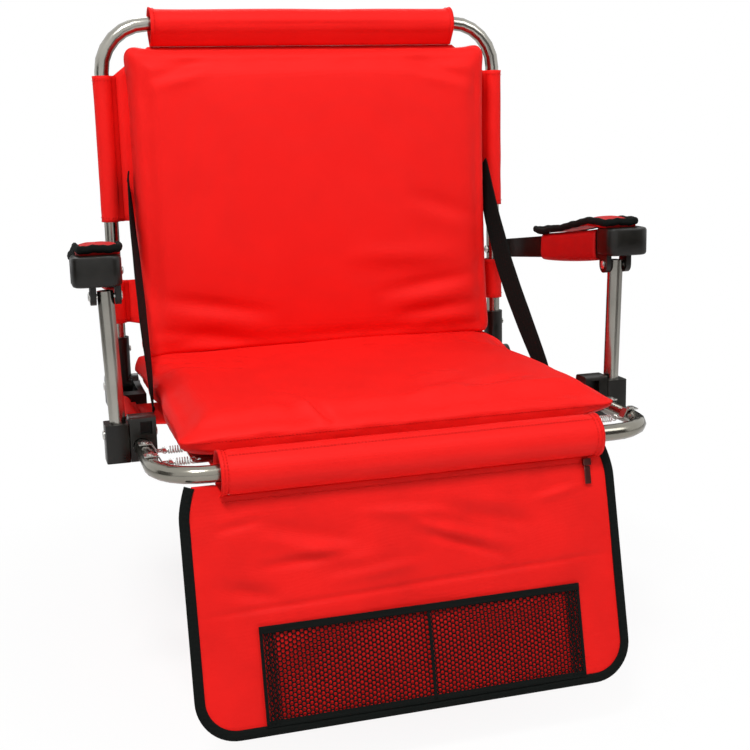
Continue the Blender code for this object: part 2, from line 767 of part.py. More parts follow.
def tube_sleeve(name, side, z_low, z_high):
    """A sleeve of the back sling round a side of the back frame."""
    meet = side * (BACK_X - SLEEVE_OUTER_R - 0.004)
    path = sleeve_path((side * BACK_X, 0.0), side, meet)
    return strip(name, path, "Z", z_low, z_high, CLOTH, red_cloth(), CHAIR)


def back_sling():
    """The flat cloth panel between the two sides of the back frame, notched between its sleeves."""
    reach = BACK_X - SLEEVE_OUTER_R - 0.004 - GAP
    notch = reach - 0.014
    top = BACK_TOP_Z - TOP_SLEEVE_TAIL - GAP
    corner = BACK_X - BACK_CORNER_R
    upper, lower = UPPER_SLEEVE_Z, LOWER_TAB_Z
    right = [
        (notch, BACK_SLING_BOTTOM), (reach, lower[0]), (reach, lower[1]), (notch, lower[1]),
        (notch, upper[0]), (reach, upper[0]), (reach, upper[1]), (corner, top),
    ]
    outline = right + [(-x, z) for x, z in reversed(right)]
    return prism("back_sling", outline, "Y", -CLOTH / 2, CLOTH / 2, red_cloth(), CHAIR)


def top_sleeve():
    """The padded roll round the top bar of the back frame, drawn down to a seam at the panel."""
    outline = arc((0, BACK_TOP_Z), TOP_SLEEVE_R, -40, 220, 16)
    outline += [(-0.004, BACK_TOP_Z - TOP_SLEEVE_TAIL), (0.004, BACK_TOP_Z - TOP_SLEEVE_TAIL)]
    half = TOP_SLEEVE_WIDTH / 2
    sleeve = prism("top_sleeve", outline, "X", -half, half, red_cloth(), CHAIR)
    cut_round(sleeve, "X", (0, BACK_TOP_Z), SLEEVE_INNER_R, -half - 0.01, half + 0.01, ROUND_STEPS)
    return sleeve


def seat_sling():
    """The flat cloth panel under the seat cushion, wide at the rear bands and narrow between the springs."""
    reach = RAIL_X - SLEEVE_OUTER_R - 0.004 - GAP
    front = FRONT_BAR_Y + SLEEVE_ROLL_R + GAP
    half = sling_edge_x()
    band = SEAT_BAND_Y
    right = [
        (half, front), (half, band[0] - 0.012), (reach, band[0]), (reach, band[1]),
        (half, band[1] + 0.004), (half, SEAT_SLING_REAR_Y),
    ]
    outline = right + [(-x, y) for x, y in reversed(right)]
    low, high = SEAT_SLING_Z - CLOTH / 2, SEAT_SLING_Z + CLOTH / 2
    return prism("seat_sling", outline, "Z", low, high, red_cloth(), CHAIR)


def seat_band(label, side):
    """The part of the seat sling that wraps a side rail, ahead of the rear foot."""
    meet = side * (RAIL_X - SLEEVE_OUTER_R - 0.004)
    path = sleeve_path((side * RAIL_X, RAIL_Z), side, meet)
    return strip("seat_band_" + label, path, "Y", *SEAT_BAND_Y, CLOTH, red_cloth(), CHAIR)


def front_sleeve():
    """The padded roll round the front bar of the seat frame."""
    outline = circle((FRONT_BAR_Y, RAIL_Z), SLEEVE_ROLL_R, 24)
    low = FRONT_CLOTH_X - FRONT_SLEEVE_WIDTH / 2
    high = FRONT_CLOTH_X + FRONT_SLEEVE_WIDTH / 2
    sleeve = prism("front_sleeve", outline, "X", low, high, red_cloth(), CHAIR)
    cut_round(
        sleeve, "X", (FRONT_BAR_Y, RAIL_Z), SLEEVE_INNER_R, low - 0.01, high + 0.01, ROUND_STEPS
    )
    return sleeve


def corner_webbing(label, side):
    """The black webbing sewn along a front corner of the seat sling."""
    low, high = span(side, sling_edge_x() - 0.020, sling_edge_x() + 0.010)
    y_low = FRONT_BAR_Y + SLEEVE_ROLL_R + GAP
    outline = box_outline(low, high, y_low, y_low + 0.016)
    z_high = SEAT_SLING_Z - CLOTH / 2 - GAP
    name = "corner_webbing_" + label
    return prism(name, outline, "Z", z_high - 0.0018, z_high, black_webbing(), CHAIR)


# Cushions

def cushion(name, half, run, thickness, to_world, flare=0.0):
    """A cushion with a crowned face, rounded edges and sides drawn in between its corners.

    The cushion is laid out across, along and up, and to_world turns these into the chair's axes.
    """
    outline = cushion_outline(half, run, flare)
    middle = (run[0] + run[1]) / 2
    along_half = (run[1] - run[0]) / 2
    levels = []
    for angle in (-90, -50, -15, 15, 50, 90):
        turn = math.radians(angle)
        levels.append((CUSHION_EDGE * (1 - math.cos(turn)), thickness / 2 * (1 + math.sin(turn))))
    for inset_share, rise_share in ((0.35, 0.7), (0.68, 0.94)):
        levels.append((half * inset_share, thickness + CUSHION_CROWN * rise_share))
    shape = bmesh.new()
    rings = []
    for inset, up in levels:
        across_scale = 1 - inset / half
        along_scale = 1 - inset / along_half
        rings.append([
            shape.verts.new(to_world(x * across_scale, middle + (y - middle) * along_scale, up))
            for x, y in outline
        ])
    count = len(outline)
    for near, far in zip(rings, rings[1:]):
        for place_ in range(count):
            nxt = (place_ + 1) % count
            shape.faces.new((near[place_], near[nxt], far[nxt], far[place_]))
    crown = shape.verts.new(to_world(0.0, middle, thickness + CUSHION_CROWN))
    for place_ in range(count):
        shape.faces.new((rings[-1][place_], rings[-1][(place_ + 1) % count], crown))
    shape.faces.new(list(reversed(rings[0])))
    return place(name, mesh_from(shape, name), red_cloth(), CHAIR, 80)


def cushion_outline(half, run, flare):
    """Round corners joined by sides that draw in at their middle. The two near corners may stand out a little."""
    low, high = run
    radius = CUSHION_CORNER_R
    corners = (
        ((half - radius, high - radius), 0), ((-half + radius, high - radius), 90),
        ((-half + radius - flare, low + radius), 180), ((half - radius + flare, low + radius), 270),
    )
    points = []
    for number, (centre, start) in enumerate(corners):
        points += arc(centre, radius, start, start + 90, 4)
        last = points[-1]
        next_centre, next_start = corners[(number + 1) % 4]
        first = arc(next_centre, radius, next_start, next_start, 1)[0]
        away = math.radians(start + 90)
        for step in range(1, CUSHION_SIDE_STEPS):
            share = step / CUSHION_SIDE_STEPS
            pull = CUSHION_DRAW_IN * math.sin(math.pi * share)
            points.append((
                last[0] + (first[0] - last[0]) * share - math.cos(away) * pull,
                last[1] + (first[1] - last[1]) * share - math.sin(away) * pull,
            ))
    return points


def seat_cushion():
    base = SPRING_Z + TAB_THICKNESS / 2 + 3 * GAP
    cushion(
        "seat_cushion", RAIL_X - SEAT_CUSHION_TO_RAIL, SEAT_CUSHION_Y, SEAT_CUSHION_THICKNESS,
        lambda x, y, up: (x, y, base + up), CUSHION_FLARE,
    )


def back_cushion():
    face = -(CLOTH / 2 + GAP)
    cushion(
        "back_cushion", BACK_X - BACK_CUSHION_TO_TUBE, BACK_CUSHION_Z, BACK_CUSHION_THICKNESS,
        lambda x, z, up: (x, face - up, z),
    )


# Straps

def back_strap(label, side):
    """The webbing strap that stops the back from falling further, from the upper sleeve down to the rail."""
    thick = STRAP_THICKNESS
    top_y = -(CLOTH + 2 * GAP + STRAP_WIDTH / 2)
    upper = Vector((side * (BACK_X - SLEEVE_OUTER_R - GAP - thick / 2), top_y, STRAP_TOP_Z))
    foot_z = RAIL_Z + STRAP_FOOT_RISE
    lower = Vector((side * (RAIL_X - SLEEVE_OUTER_R), STRAP_FOOT_Y, foot_z))
    along = (lower - upper).normalized()
    across = Vector((0, -along.z, along.y)).normalized()
    shape = bmesh.new()
    rows = []
    for step in range(STRAP_STEPS + 1):
        share = step / STRAP_STEPS
        bow = STRAP_BOW * math.sin(math.pi * share ** 0.8)
        centre = upper.lerp(lower, share) + across * bow
        turn = math.radians(STRAP_TWIST[label]) * math.sin(math.pi * share) ** 0.5
        outward = Vector((side, 0, 0))
        broad = across * math.cos(turn) - outward * math.sin(turn)
        flat = outward * math.cos(turn) + across * math.sin(turn)
        rows.append([
            shape.verts.new(centre + broad * (edge * STRAP_WIDTH / 2) + flat * (depth * thick / 2))
            for edge, depth in ((-1, -1), (1, -1), (1, 1), (-1, 1))
        ])
    for near, far in zip(rows, rows[1:]):
        for place_ in range(4):
            nxt = (place_ + 1) % 4
            shape.faces.new((near[place_], near[nxt], far[nxt], far[place_]))
    shape.faces.new(rows[0])
    shape.faces.new(rows[-1])
    return place("back_strap_" + label, mesh_from(shape, "back_strap"), black_webbing(), CHAIR)


# Springs

def rail_tab(label, side, number, y):
    """A strap of sheet metal riveted on the rail's top, stepped down to an eye for the spring's hook."""
    top = RAIL_Z + TUBE_R + GAP + TAB_THICKNESS / 2
    hook = spring_hook_x()
    path = [
        (side * (RAIL_X + TAB_REST), top), (side * (RAIL_X - 0.006), top),
        (side * (RAIL_X - TUBE_R - 0.0025), SPRING_Z), (side * (hook - TAB_LIP / 2), SPRING_Z),
    ]
    name = "spring_tab_%s_%d" % (label, number)
    tab = strip(name, path, "Y", y - TAB_WIDTH / 2, y + TAB_WIDTH / 2, TAB_THICKNESS, steel(), CHAIR)
    tab.modifiers["thickness"].use_rim = True
    hole = side * (hook + TAB_LIP / 2 + TAB_HOLE_R)
    cut_round(tab, "Z", (hole, y), TAB_HOLE_R, SPRING_Z - 0.004, SPRING_Z + 0.004)
    join_prism(tab, "Z", circle((side * RAIL_X, y), 0.0036, PIN_STEPS), top, top + 0.0020)
    return tab


def spring_hook_x():
    """How far from the middle the outer hook's centre stands: inboard of the rail, by the tab's eye."""
    return RAIL_X - TUBE_R - 0.003 - 2 * TAB_HOLE_R - TAB_LIP / 2


def spring_inner_x():
    """How far from the middle the inner hook's centre stands."""
    return spring_hook_x() - 2 * HOOK_R - SPRING_TURNS * SPRING_PITCH


def plate_inner_x():
    """How far from the middle the edge plate's inner side lies."""
    return spring_inner_x() - TAB_LIP / 2 - EDGE_PLATE_WIDTH + 2 * TAB_HOLE_R


def sling_edge_x():
    """How far from the middle the seat sling's edge lies, lapped under the edge plate."""
    return plate_inner_x() + EDGE_PLATE_LAP


def edge_plate(label, side):
    """The metal strip riveted along the sling's edge, with an eye for each spring."""
    low, high = span(side, plate_inner_x(), spring_inner_x() + TAB_LIP / 2)
    y_low = min(SPRING_YS) - 0.010
    y_high = max(SPRING_YS) + 0.010
    outline = rounded_outline(low, high, y_low, y_high, 0.002, 2)
    z_low = SPRING_Z - TAB_THICKNESS / 2
    plate = prism("edge_plate_" + label, outline, "Z", z_low, z_low + TAB_THICKNESS, steel(), CHAIR)
    for y in SPRING_YS:
        hole = side * (spring_inner_x() - TAB_LIP / 2 - TAB_HOLE_R)
        cut_round(plate, "Z", (hole, y), TAB_HOLE_R, SPRING_Z - 0.004, SPRING_Z + 0.004)
    return plate


def spring_points(side, y):
    """One wire: an upright hook round the tab's lip, the coil, and a hook round the edge plate's lip."""
    outer = spring_hook_x() - HOOK_R
    points = []
    hook_steps = 7
    centre = spring_hook_x()
    for step in range(hook_steps + 1):
        angle = math.radians(300 - 280 * step / hook_steps + 160)
        points.append((centre + HOOK_R * math.cos(angle), 0.0, HOOK_R * math.sin(angle)))
    total = SPRING_TURNS * SPRING_POINTS
    for step in range(1, total):
        angle = 2 * math.pi * step / SPRING_POINTS
        x = outer - SPRING_PITCH * step / SPRING_POINTS
        points.append((x, SPRING_COIL_R * math.sin(angle), SPRING_COIL_R * math.cos(angle)))
    centre = spring_inner_x()
    for step in range(hook_steps + 1):
        angle = math.radians(60 + 280 * step / hook_steps)
        points.append((centre + HOOK_R * math.cos(angle), 0.0, HOOK_R * math.sin(angle)))
    return [(side * x, y + dy, SPRING_Z + dz) for x, dy, dz in points]


def least_gap(points, wire_r, skip):
    """The least clear distance between turns of a wire, measured between its points."""
    least = 1.0
    vectors = [Vector(point) for point in points]
    for number, first in enumerate(vectors):
        for second in vectors[number + skip:]:
            least = min(least, (first - second).length - 2 * wire_r)
    return least


def spring(label, side, number, y):
    points = spring_points(side, y)
    gap = least_gap(points, SPRING_WIRE_R, SPRING_POINTS // 2 + 1)
    print("least gap in spring_%s_%d: %.2f mm" % (label, number, gap * 1000))
    return bar("spring_%s_%d" % (label, number), points, SPRING_WIRE_R, steel(), CHAIR, resolution=1)


# Flap, pocket and zip

def flap_place(across, down, out):
    """A point on the hanging flap: across from its middle, down from the front bar's axis, and out from its cloth."""
    x = FLAP_X + across
    y = FRONT_BAR_Y - down * math.sin(FLAP_TILT) - out * math.cos(FLAP_TILT)
    z = RAIL_Z - down * math.cos(FLAP_TILT) + out * math.sin(FLAP_TILT)
    return (x, y, z)


def flap_wave(across, down):
    """The soft main folds of the hanging cloth, nil at its sewn rim."""
    width_share = across / (FLAP_WIDTH / 2)
    start = FLAP_TOP + 2 * SLIDER_SIZE[2]
    run = (down - start) / (FLAP_LENGTH - start)
    rim = (1 - width_share ** 6) * math.sin(math.pi * min(1.0, max(0.0, run)))
    diagonal = math.cos(math.pi * (2.1 * width_share + 2.4 * run - 0.4))
    return FLAP_FOLD * rim * (0.25 + 0.75 * diagonal) * max(0.0, 1 - 1.25 * run)


def flap_outline(inset, steps=8):
    """The flap's edge, inset from its cut edge, as (across, down), from the top left round to the top right."""
    half = FLAP_WIDTH / 2 - inset
    radius = FLAP_CORNER_R - inset
    bottom = FLAP_LENGTH - inset
    left = [(-half, FLAP_TOP), (-half, (FLAP_TOP + bottom) / 2)]
    left += arc((-half + radius, bottom - radius), radius, 180, 90, steps)
    right = [(-across, down) for across, down in reversed(left)]
    return left + right


def flap():
    """The cloth panel, with its main folds."""
    inset = BINDING_WIDTH / 2
    columns, rows = FLAP_COLUMNS, FLAP_ROWS + FLAP_CORNER_ROWS
    radius = FLAP_CORNER_R - inset
    straight_end = FLAP_LENGTH - inset - radius
    shape = bmesh.new()
    front, behind = [], []
    for row in range(rows + 1):
        down = FLAP_TOP + (straight_end - FLAP_TOP) * min(1.0, row / FLAP_ROWS)
        turn = math.radians(90) * max(0, row - FLAP_ROWS) / FLAP_CORNER_ROWS
        down += radius * math.sin(turn)
        half = FLAP_WIDTH / 2 - inset - radius * (1 - math.cos(turn))
        for column in range(columns + 1):
            across = half * (2 * column / columns - 1)
            wave = flap_wave(across, down)
            front.append(shape.verts.new(flap_place(across, down, wave + FLAP_THICKNESS / 2)))
            behind.append(shape.verts.new(flap_place(across, down, wave - FLAP_THICKNESS / 2)))
    close_grid(shape, front, behind, columns + 1, rows + 1)
    return place("front_flap", mesh_from(shape, "front_flap"), red_cloth(), CHAIR, 80)


def flap_binding():
    """The black tape folded over the flap's edge: a band with a groove for the cloth."""
    outer = flap_outline(-BINDING_WIDTH / 4)
    inner = flap_outline(BINDING_WIDTH / 2 - GAP)
    shape = bmesh.new()
    rings = []
    for (a_out, d_out), (a_in, d_in) in zip(outer, inner):
        rings.append([
            shape.verts.new(flap_place(across, down, out * BINDING_THICKNESS / 2))
            for across, down, out in ((a_out, d_out, -1), (a_out, d_out, 1), (a_in, d_in, 1), (a_in, d_in, -1))
        ])
    for near, far in zip(rings, rings[1:]):
        for place_ in range(4):
            nxt = (place_ + 1) % 4
            shape.faces.new((near[place_], near[nxt], far[nxt], far[place_]))
    shape.faces.new(rings[0])
    shape.faces.new(rings[-1])
    return place("flap_binding", mesh_from(shape, "flap_binding"), black_webbing(), CHAIR)


def pocket_net():
    """The mesh pocket: a net of wide holes inside a plain border, with a divider down its middle."""
    bottom = FLAP_LENGTH - BINDING_WIDTH / 2 - GAP - 0.003
    top = bottom - NET_HEIGHT
    half = NET_WIDTH / 2
    shape = bmesh.new()
    us, vs = [-half], [top]
    pitch_u = (NET_WIDTH - 3 * NET_BORDER) / NET_COLUMNS
    pitch_v = (NET_HEIGHT - 2 * NET_BORDER) / NET_ROWS
    for column in range(NET_COLUMNS):
        start = -half + NET_BORDER + column * pitch_u
        if column >= NET_COLUMNS / 2:
            start += NET_BORDER
        us += [start + NET_STRAND / 2, start + pitch_u - NET_STRAND / 2]
    for row in range(NET_ROWS):
        start = top + NET_BORDER + row * pitch_v
        vs += [start + NET_STRAND / 2, start + pitch_v - NET_STRAND / 2]
    us.append(half)
    vs.append(bottom)
    columns = len(us)

    def stand_off(across, down):
        share_u = 1 - (across / half) ** 4
        share_v = math.sin(math.pi * min(1.0, max(0.0, (down - top) / (bottom - top))) * 0.75 + 0.4)
        return FLAP_THICKNESS / 2 + GAP + 0.0006 + NET_BULGE * max(0.0, share_u) * max(0.0, share_v) * 0.5

    near, far = [], []
    for down in vs:
        for across in us:
            out = stand_off(across, down)
            near.append(shape.verts.new(flap_place(NET_X + across, down, out)))
            far.append(shape.verts.new(flap_place(NET_X + across, down, out + NET_THICKNESS)))

    def solid(column, row):
        inside_u = column % 2 == 1 and 0 < column < columns - 2
        inside_v = row % 2 == 1 and 0 < row < len(vs) - 2
        return not (inside_u and inside_v)

    def corner(grid, column, row):
        return grid[row * columns + column]

    for row in range(len(vs) - 1):
        for column in range(columns - 1):
            cell = ((column, row), (column + 1, row), (column + 1, row + 1), (column, row + 1))
            if solid(column, row):
                for grid in (near, far):
                    shape.faces.new([corner(grid, *place_) for place_ in cell])
                continue
            for first, second in zip(cell, cell[1:] + cell[:1]):
                shape.faces.new((
                    corner(near, *first), corner(near, *second), corner(far, *second), corner(far, *first),
                ))
    edge = [(column, 0) for column in range(columns)]
    edge += [(columns - 1, row) for row in range(1, len(vs))]
    edge += [(column, len(vs) - 1) for column in range(columns - 2, -1, -1)]
    edge += [(0, row) for row in range(len(vs) - 2, 0, -1)]
    for first, second in zip(edge, edge[1:] + edge[:1]):
        shape.faces.new((
            corner(near, *first), corner(near, *second), corner(far, *second), corner(far, *first),
        ))
    return place("pocket_net", mesh_from(shape, "pocket_net"), black_net(), CHAIR)


def flap_block(name, across, down, out, finish, bevel):
    """A small block lying on the flap: ranges across, down and out."""
    shape = bmesh.new()
    bmesh.ops.create_cube(shape, size=1.0)
    for vertex in shape.verts:
        point = [
            low + (high - low) * (vertex.co[axis] + 0.5)
            for axis, (low, high) in enumerate((across, down, out))
        ]
        vertex.co = flap_place(*point)
    obj = place(name, mesh_from(shape, name), finish, CHAIR)
    round_edges(obj, bevel, 1)
    return obj


def zip_slider():
    """The zip's slider, on the flap's top edge under the front sleeve, with a bridge for the pull."""
    width, depth, height = SLIDER_SIZE
    across = FLAP_WIDTH / 2 - ZIP_TO_FLAP_EDGE
    face = FLAP_THICKNESS / 2 + GAP
    slider = flap_block(
        "zip_slider", (across - width / 2, across + width / 2),
        (FLAP_TOP + 0.0005, FLAP_TOP + 0.0005 + height), (face, face + depth), steel(), 0.0006,
    )
    return slider


def zip_pull():
    """The flat pull that hangs from the slider."""
    height = SLIDER_SIZE[2]
    across = FLAP_WIDTH / 2 - ZIP_TO_FLAP_EDGE
    start = FLAP_TOP + 0.0005 + height + PULL_CLEARANCE
    face = FLAP_THICKNESS / 2 + 0.0014
    pull = flap_block(
        "zip_pull", (across - PULL_WIDTH / 2, across + PULL_WIDTH / 2),
        (start, start + PULL_LENGTH), (face, face + PULL_THICKNESS), steel(), 0.0004,
    )
    return pull


# Assembly

clear_scene()
CHAIR = new_collection("stadium_chair")
CUTTERS = new_collection("cutters")


def build():
    seat_frame()
    back_frame()
    for label, side in sides():
        rear_foot(label, side)
        hinge_pin(label, side)
        rail_clamp(label, side)
        post_pin(label, side)
        back_socket(label, side)
        cross_rivet(label, side)
        post_tube(label, side)
        post_socket(label, side)
        arm(label, side)
        arm_pin(label, side)
        post_top_rivet(label, side)
        arm_cover(label, side)
        arm_pad(label, side)
        tube_sleeve("upper_sleeve_" + label, side, *UPPER_SLEEVE_Z)
        tube_sleeve("lower_tab_" + label, side, *LOWER_TAB_Z)
        seat_band(label, side)
        corner_webbing(label, side)
        back_strap(label, side)
        edge_plate(label, side)
        for number, y in enumerate(SPRING_YS, 1):
            rail_tab(label, side, number, y)
            spring(label, side, number, y)
    back_sling()
    top_sleeve()
    seat_sling()
    front_sleeve()
    seat_cushion()
    back_cushion()
    flap()
    flap_binding()
    pocket_net()
    zip_slider()
    zip_pull()


build()
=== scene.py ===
import math

import bmesh
import bpy
import numpy as np
from mathutils import Matrix, Vector

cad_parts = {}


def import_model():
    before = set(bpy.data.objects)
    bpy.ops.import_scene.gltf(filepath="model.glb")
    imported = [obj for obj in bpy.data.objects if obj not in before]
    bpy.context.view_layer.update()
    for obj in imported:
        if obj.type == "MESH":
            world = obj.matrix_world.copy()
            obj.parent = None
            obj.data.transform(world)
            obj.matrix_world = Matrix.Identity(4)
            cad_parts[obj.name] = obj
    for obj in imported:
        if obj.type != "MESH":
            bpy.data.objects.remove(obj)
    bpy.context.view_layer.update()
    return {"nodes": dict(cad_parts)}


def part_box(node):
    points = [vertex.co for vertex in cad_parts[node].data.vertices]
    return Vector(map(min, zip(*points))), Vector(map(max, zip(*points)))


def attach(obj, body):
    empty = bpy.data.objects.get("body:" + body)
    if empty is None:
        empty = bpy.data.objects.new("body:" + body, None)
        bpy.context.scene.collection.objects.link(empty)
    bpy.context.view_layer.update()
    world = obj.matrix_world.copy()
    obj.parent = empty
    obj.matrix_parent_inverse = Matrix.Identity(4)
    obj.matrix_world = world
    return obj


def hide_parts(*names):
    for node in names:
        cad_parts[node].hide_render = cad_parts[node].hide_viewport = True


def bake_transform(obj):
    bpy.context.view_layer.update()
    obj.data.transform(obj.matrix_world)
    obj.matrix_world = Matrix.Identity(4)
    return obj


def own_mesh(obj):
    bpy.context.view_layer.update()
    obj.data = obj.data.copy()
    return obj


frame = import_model()

# Places and sizes shared with the chair's solids, in metres

GAP = 0.0003
CLOTH = 0.0024
RAIL_X, RAIL_Z = 0.242, 0.016
BACK_X, BACK_TOP_Z = 0.233, 0.428
FRONT_BAR_Y = -0.395
SLEEVE_R, SLEEVE_OUT = 0.0096, 0.0108
SLING_MEET = SLEEVE_OUT + 0.004
SLING_INTO_WRAP = 0.0025
BACK_SLING_BOTTOM = 0.092
UPPER_SLEEVE_Z, LOWER_TAB_Z = (0.211, 0.3725), (0.095, 0.1435)
SEAT_BAND_Y, SEAT_SLING_Z = (-0.176, -0.086), 0.0145
TOP_ROLL_R, TOP_TAIL_Z, FRONT_ROLL_R = 0.0165, BACK_TOP_Z - 0.0245, 0.0201
COVER_REAR_Y, PAD_REAR_Y, PAD_FRONT_Y = -0.116, -0.092, -0.267
POST_Y, CAP_DEPTH = -0.262, 0.037
CAP_REAR = POST_Y + CAP_DEPTH / 2
FLAP_TILT = math.radians(13)
FLAP_X, FLAP_WIDTH, FLAP_LENGTH = -0.0175, 0.416, 0.234
FLAP_START, FLAP_TOP, FLAP_CORNER_R = 0.0098, 0.0213, 0.036
FLAP_THICKNESS, BINDING_WIDTH = 0.0024, 0.009
NET_X, NET_WIDTH, NET_HEIGHT = 0.0067, 0.310, 0.086
STRAP_WIDTH, STRAP_THICKNESS = 0.025, 0.0017
BACK_CUSHION_THICKNESS, SEAT_CUSHION_THICKNESS = 0.050, 0.040
PANEL_CLOTH, WRAP_CLOTH, ROLL_WALL = 0.0019, 0.0018, 0.0016


# Small geometry helpers

def smoothstep(low, high, value):
    """0 below low, 1 above high and an even turn between them."""
    share = np.clip((value - low) / (high - low), 0.0, 1.0)
    return share * share * (3 - 2 * share)


def ripple(u, v, seed, turns=6):
    """Even, repeatable undulation between about -1 and 1, from a few crossing waves."""
    total = 0.0
    for number in range(turns):
        angle = 2.399963 * (number + 1) + seed * 1.31
        pitch = 1.0 + 0.37 * number
        phase = 1.7 * seed + 2.1 * number
        along = (u * math.cos(angle) + v * math.sin(angle)) * pitch
        total = total + np.sin(along + phase) / (1 + 0.35 * number)
    return total / 3.2


def crease(u, v, start, end, width, depth):
    """A soft ridge or valley along a short line that fades out at its ends."""
    du, dv = end[0] - start[0], end[1] - start[1]
    length = math.hypot(du, dv)
    along = ((u - start[0]) * du + (v - start[1]) * dv) / length ** 2
    across = ((u - start[0]) * dv - (v - start[1]) * du) / length
    fade = np.clip(1 - (2 * along - 1) ** 2, 0, 1) ** 1.2
    profile = np.exp(-((across / width) ** 2)) - 0.45 * np.exp(-(((across - 1.9 * width) / width) ** 2))
    return depth * fade * profile


def creased(total, u, v, lines):
    """The total with each listed crease added: its start, end, width and depth."""
    for start, end, width, depth in lines:
        total = total + crease(u, v, start, end, width, depth)
    return total


def make_object(name, points, faces, finishes, smooth=True):
    """A mesh object from points and faces, with its faces turned outward."""
    mesh = bpy.data.meshes.new(name)
    mesh.from_pydata([tuple(map(float, p)) for p in points], [], [tuple(map(int, f)) for f in faces])
    for finish in finishes:
        mesh.materials.append(finish)
    shape = bmesh.new()
    shape.from_mesh(mesh)
    bmesh.ops.recalc_face_normals(shape, faces=shape.faces)
    for face in shape.faces:
        face.smooth = smooth
    shape.to_mesh(mesh)
    shape.free()
    obj = bpy.data.objects.new(name, mesh)
    bpy.context.scene.collection.objects.link(obj)
    return obj


def shell_faces(rows, columns, wrap):
    """Faces of a thin closed body made of an outer grid and an inner one, rims included."""
    faces = []
    inner = rows * columns
    last = columns if wrap else columns - 1
    for row in range(rows - 1):
        for column in range(last):
            nxt = (column + 1) % columns
            a, b = row * columns + column, row * columns + nxt
            c, d = a + columns, b + columns
            faces.append((a, b, d, c))
            faces.append((inner + a, inner + c, inner + d, inner + b))
    for column in range(last):
        nxt = (column + 1) % columns
        for row in (0, rows - 1):
            a, b = row * columns + column, row * columns + nxt
            faces.append((a, b, inner + b, inner + a))
    if not wrap:
        for row in range(rows - 1):
            for column in (0, columns - 1):
                a, c = row * columns + column, (row + 1) * columns + column
                faces.append((a, c, inner + c, inner + a))
    return faces


def ring_faces(rows, count, closed=False):
    """Faces between rings of so many points, and from the last ring to the first where closed."""
    faces = []
    for row in range(rows if closed else rows - 1):
        here, ahead = row * count, (row + 1) % rows * count
        for number in range(count):
            nxt = (number + 1) % count
            faces.append((here + number, here + nxt, ahead + nxt, ahead + number))
    return faces


def shell(name, outer, inner, finish, wrap=False):
    """A thin closed body between two grids of points shaped (rows, columns, 3)."""
    rows, columns = outer.shape[:2]
    points = np.concatenate([outer.reshape(-1, 3), inner.reshape(-1, 3)])
    return make_object(name, points, shell_faces(rows, columns, wrap), [finish])


def grid_normals(grid):
    """Unit normals of a grid of points."""
    along_rows = np.gradient(grid, axis=0)
    along_columns = np.gradient(grid, axis=1)
    normal = np.cross(along_columns, along_rows)
    return normal / np.maximum(np.linalg.norm(normal, axis=2, keepdims=True), 1e-12)


def thick_sheet(name, middle, thickness, finish):
    """A sheet of cloth of even thickness round a grid of points on its middle face."""
    normal = grid_normals(middle)
    return shell(name, middle + normal * thickness / 2, middle - normal * thickness / 2, finish)


def resampled(path, pitch):
    """Points at an even pitch along a line of points, with the direction at each."""
    path = np.asarray(path, float)
    lengths = np.linalg.norm(np.diff(path, axis=0), axis=1)
    reach = np.concatenate([[0], np.cumsum(lengths)])
    places = np.arange(pitch / 2, reach[-1], pitch)
    points = np.stack([np.interp(places, reach, path[:, axis]) for axis in range(3)], axis=1)
    ahead = np.stack([np.interp(places + pitch / 4, reach, path[:, axis]) for axis in range(3)], axis=1)
    behind = np.stack([np.interp(places - pitch / 4, reach, path[:, axis]) for axis in range(3)], axis=1)
    direction = ahead - behind
    return points, direction / np.maximum(np.linalg.norm(direction, axis=1, keepdims=True), 1e-12)


def thread(runs, pitch=0.0032, share=0.66, width=0.00075, height=0.00035):
    """Points and faces of sewn stitches along lines of points, each with an outward direction."""
    points, faces = [], []
    for path, out in runs:
        centres, along = resampled(path, pitch)
        out = np.asarray(out, float)
        for centre, direction in zip(centres, along):
            up = out - direction * float(out @ direction)
            up = up / max(np.linalg.norm(up), 1e-12)
            side = np.cross(up, direction)
            start = len(points)
            half = pitch * share / 2
            for end, rise, spread in ((-1, -0.25, 0.6), (-0.55, 1, 1), (0.55, 1, 1), (1, -0.25, 0.6)):
                base = centre + direction * half * end
                for turn in (-1, 1):
                    points.append(base + side * turn * width / 2 * spread + up * height * rise)
                points.append(base + up * (height * rise + 0.3 * height))
            for row in range(3):
                a, b = start + 3 * row, start + 3 * row + 3
                faces += [(a, a + 2, b + 2, b), (a + 2, a + 1, b + 1, b + 2), (a + 1, a, b, b + 1)]
            faces += [(start, start + 1, start + 2), (start + 9, start + 11, start + 10)]
    return points, faces


def stitches(name, runs, body):
    """One object that holds several rows of red stitches."""
    points, faces = thread(runs)
    obj = make_object(name, points, faces, [red_thread])
    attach(obj, body)
    return obj


def settle(obj, body, slot_name, *nodes):
    """The piece rides on its body and stands for its nodes; the slot name is not used."""
    if nodes:
        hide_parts(*nodes)
    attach(obj, body)


# Materials

def fed(tree, value, socket):
    """Links another node's output to a socket, or sets the socket."""
    if hasattr(value, "links"):
        tree.links.new(value, socket)
    else:
        socket.default_value = value


def add_node(tree, kind, settings=None, inputs=None):
    """A new node with its settings, and its inputs set or linked by name."""
    node = tree.nodes.new(kind)
    for name, value in (settings or {}).items():
        setattr(node, name, value)
    for name, value in (inputs or {}).items():
        fed(tree, value, node.inputs[name])
    return node


def start_finish(name, colour, roughness, metallic=0.0):
    """A new material with its node tree, its shader and the place of its textures."""
    finish = bpy.data.materials.new(name)
    finish.use_nodes = True
    finish.diffuse_color = (*colour, 1)
    tree = finish.node_tree
    shader = tree.nodes["Principled BSDF"]
    shader.inputs["Base Color"].default_value = (*colour, 1)
    shader.inputs["Roughness"].default_value = roughness
    shader.inputs["Metallic"].default_value = metallic
    return finish, tree, shader, tree.nodes.new("ShaderNodeTexCoord").outputs["Object"]


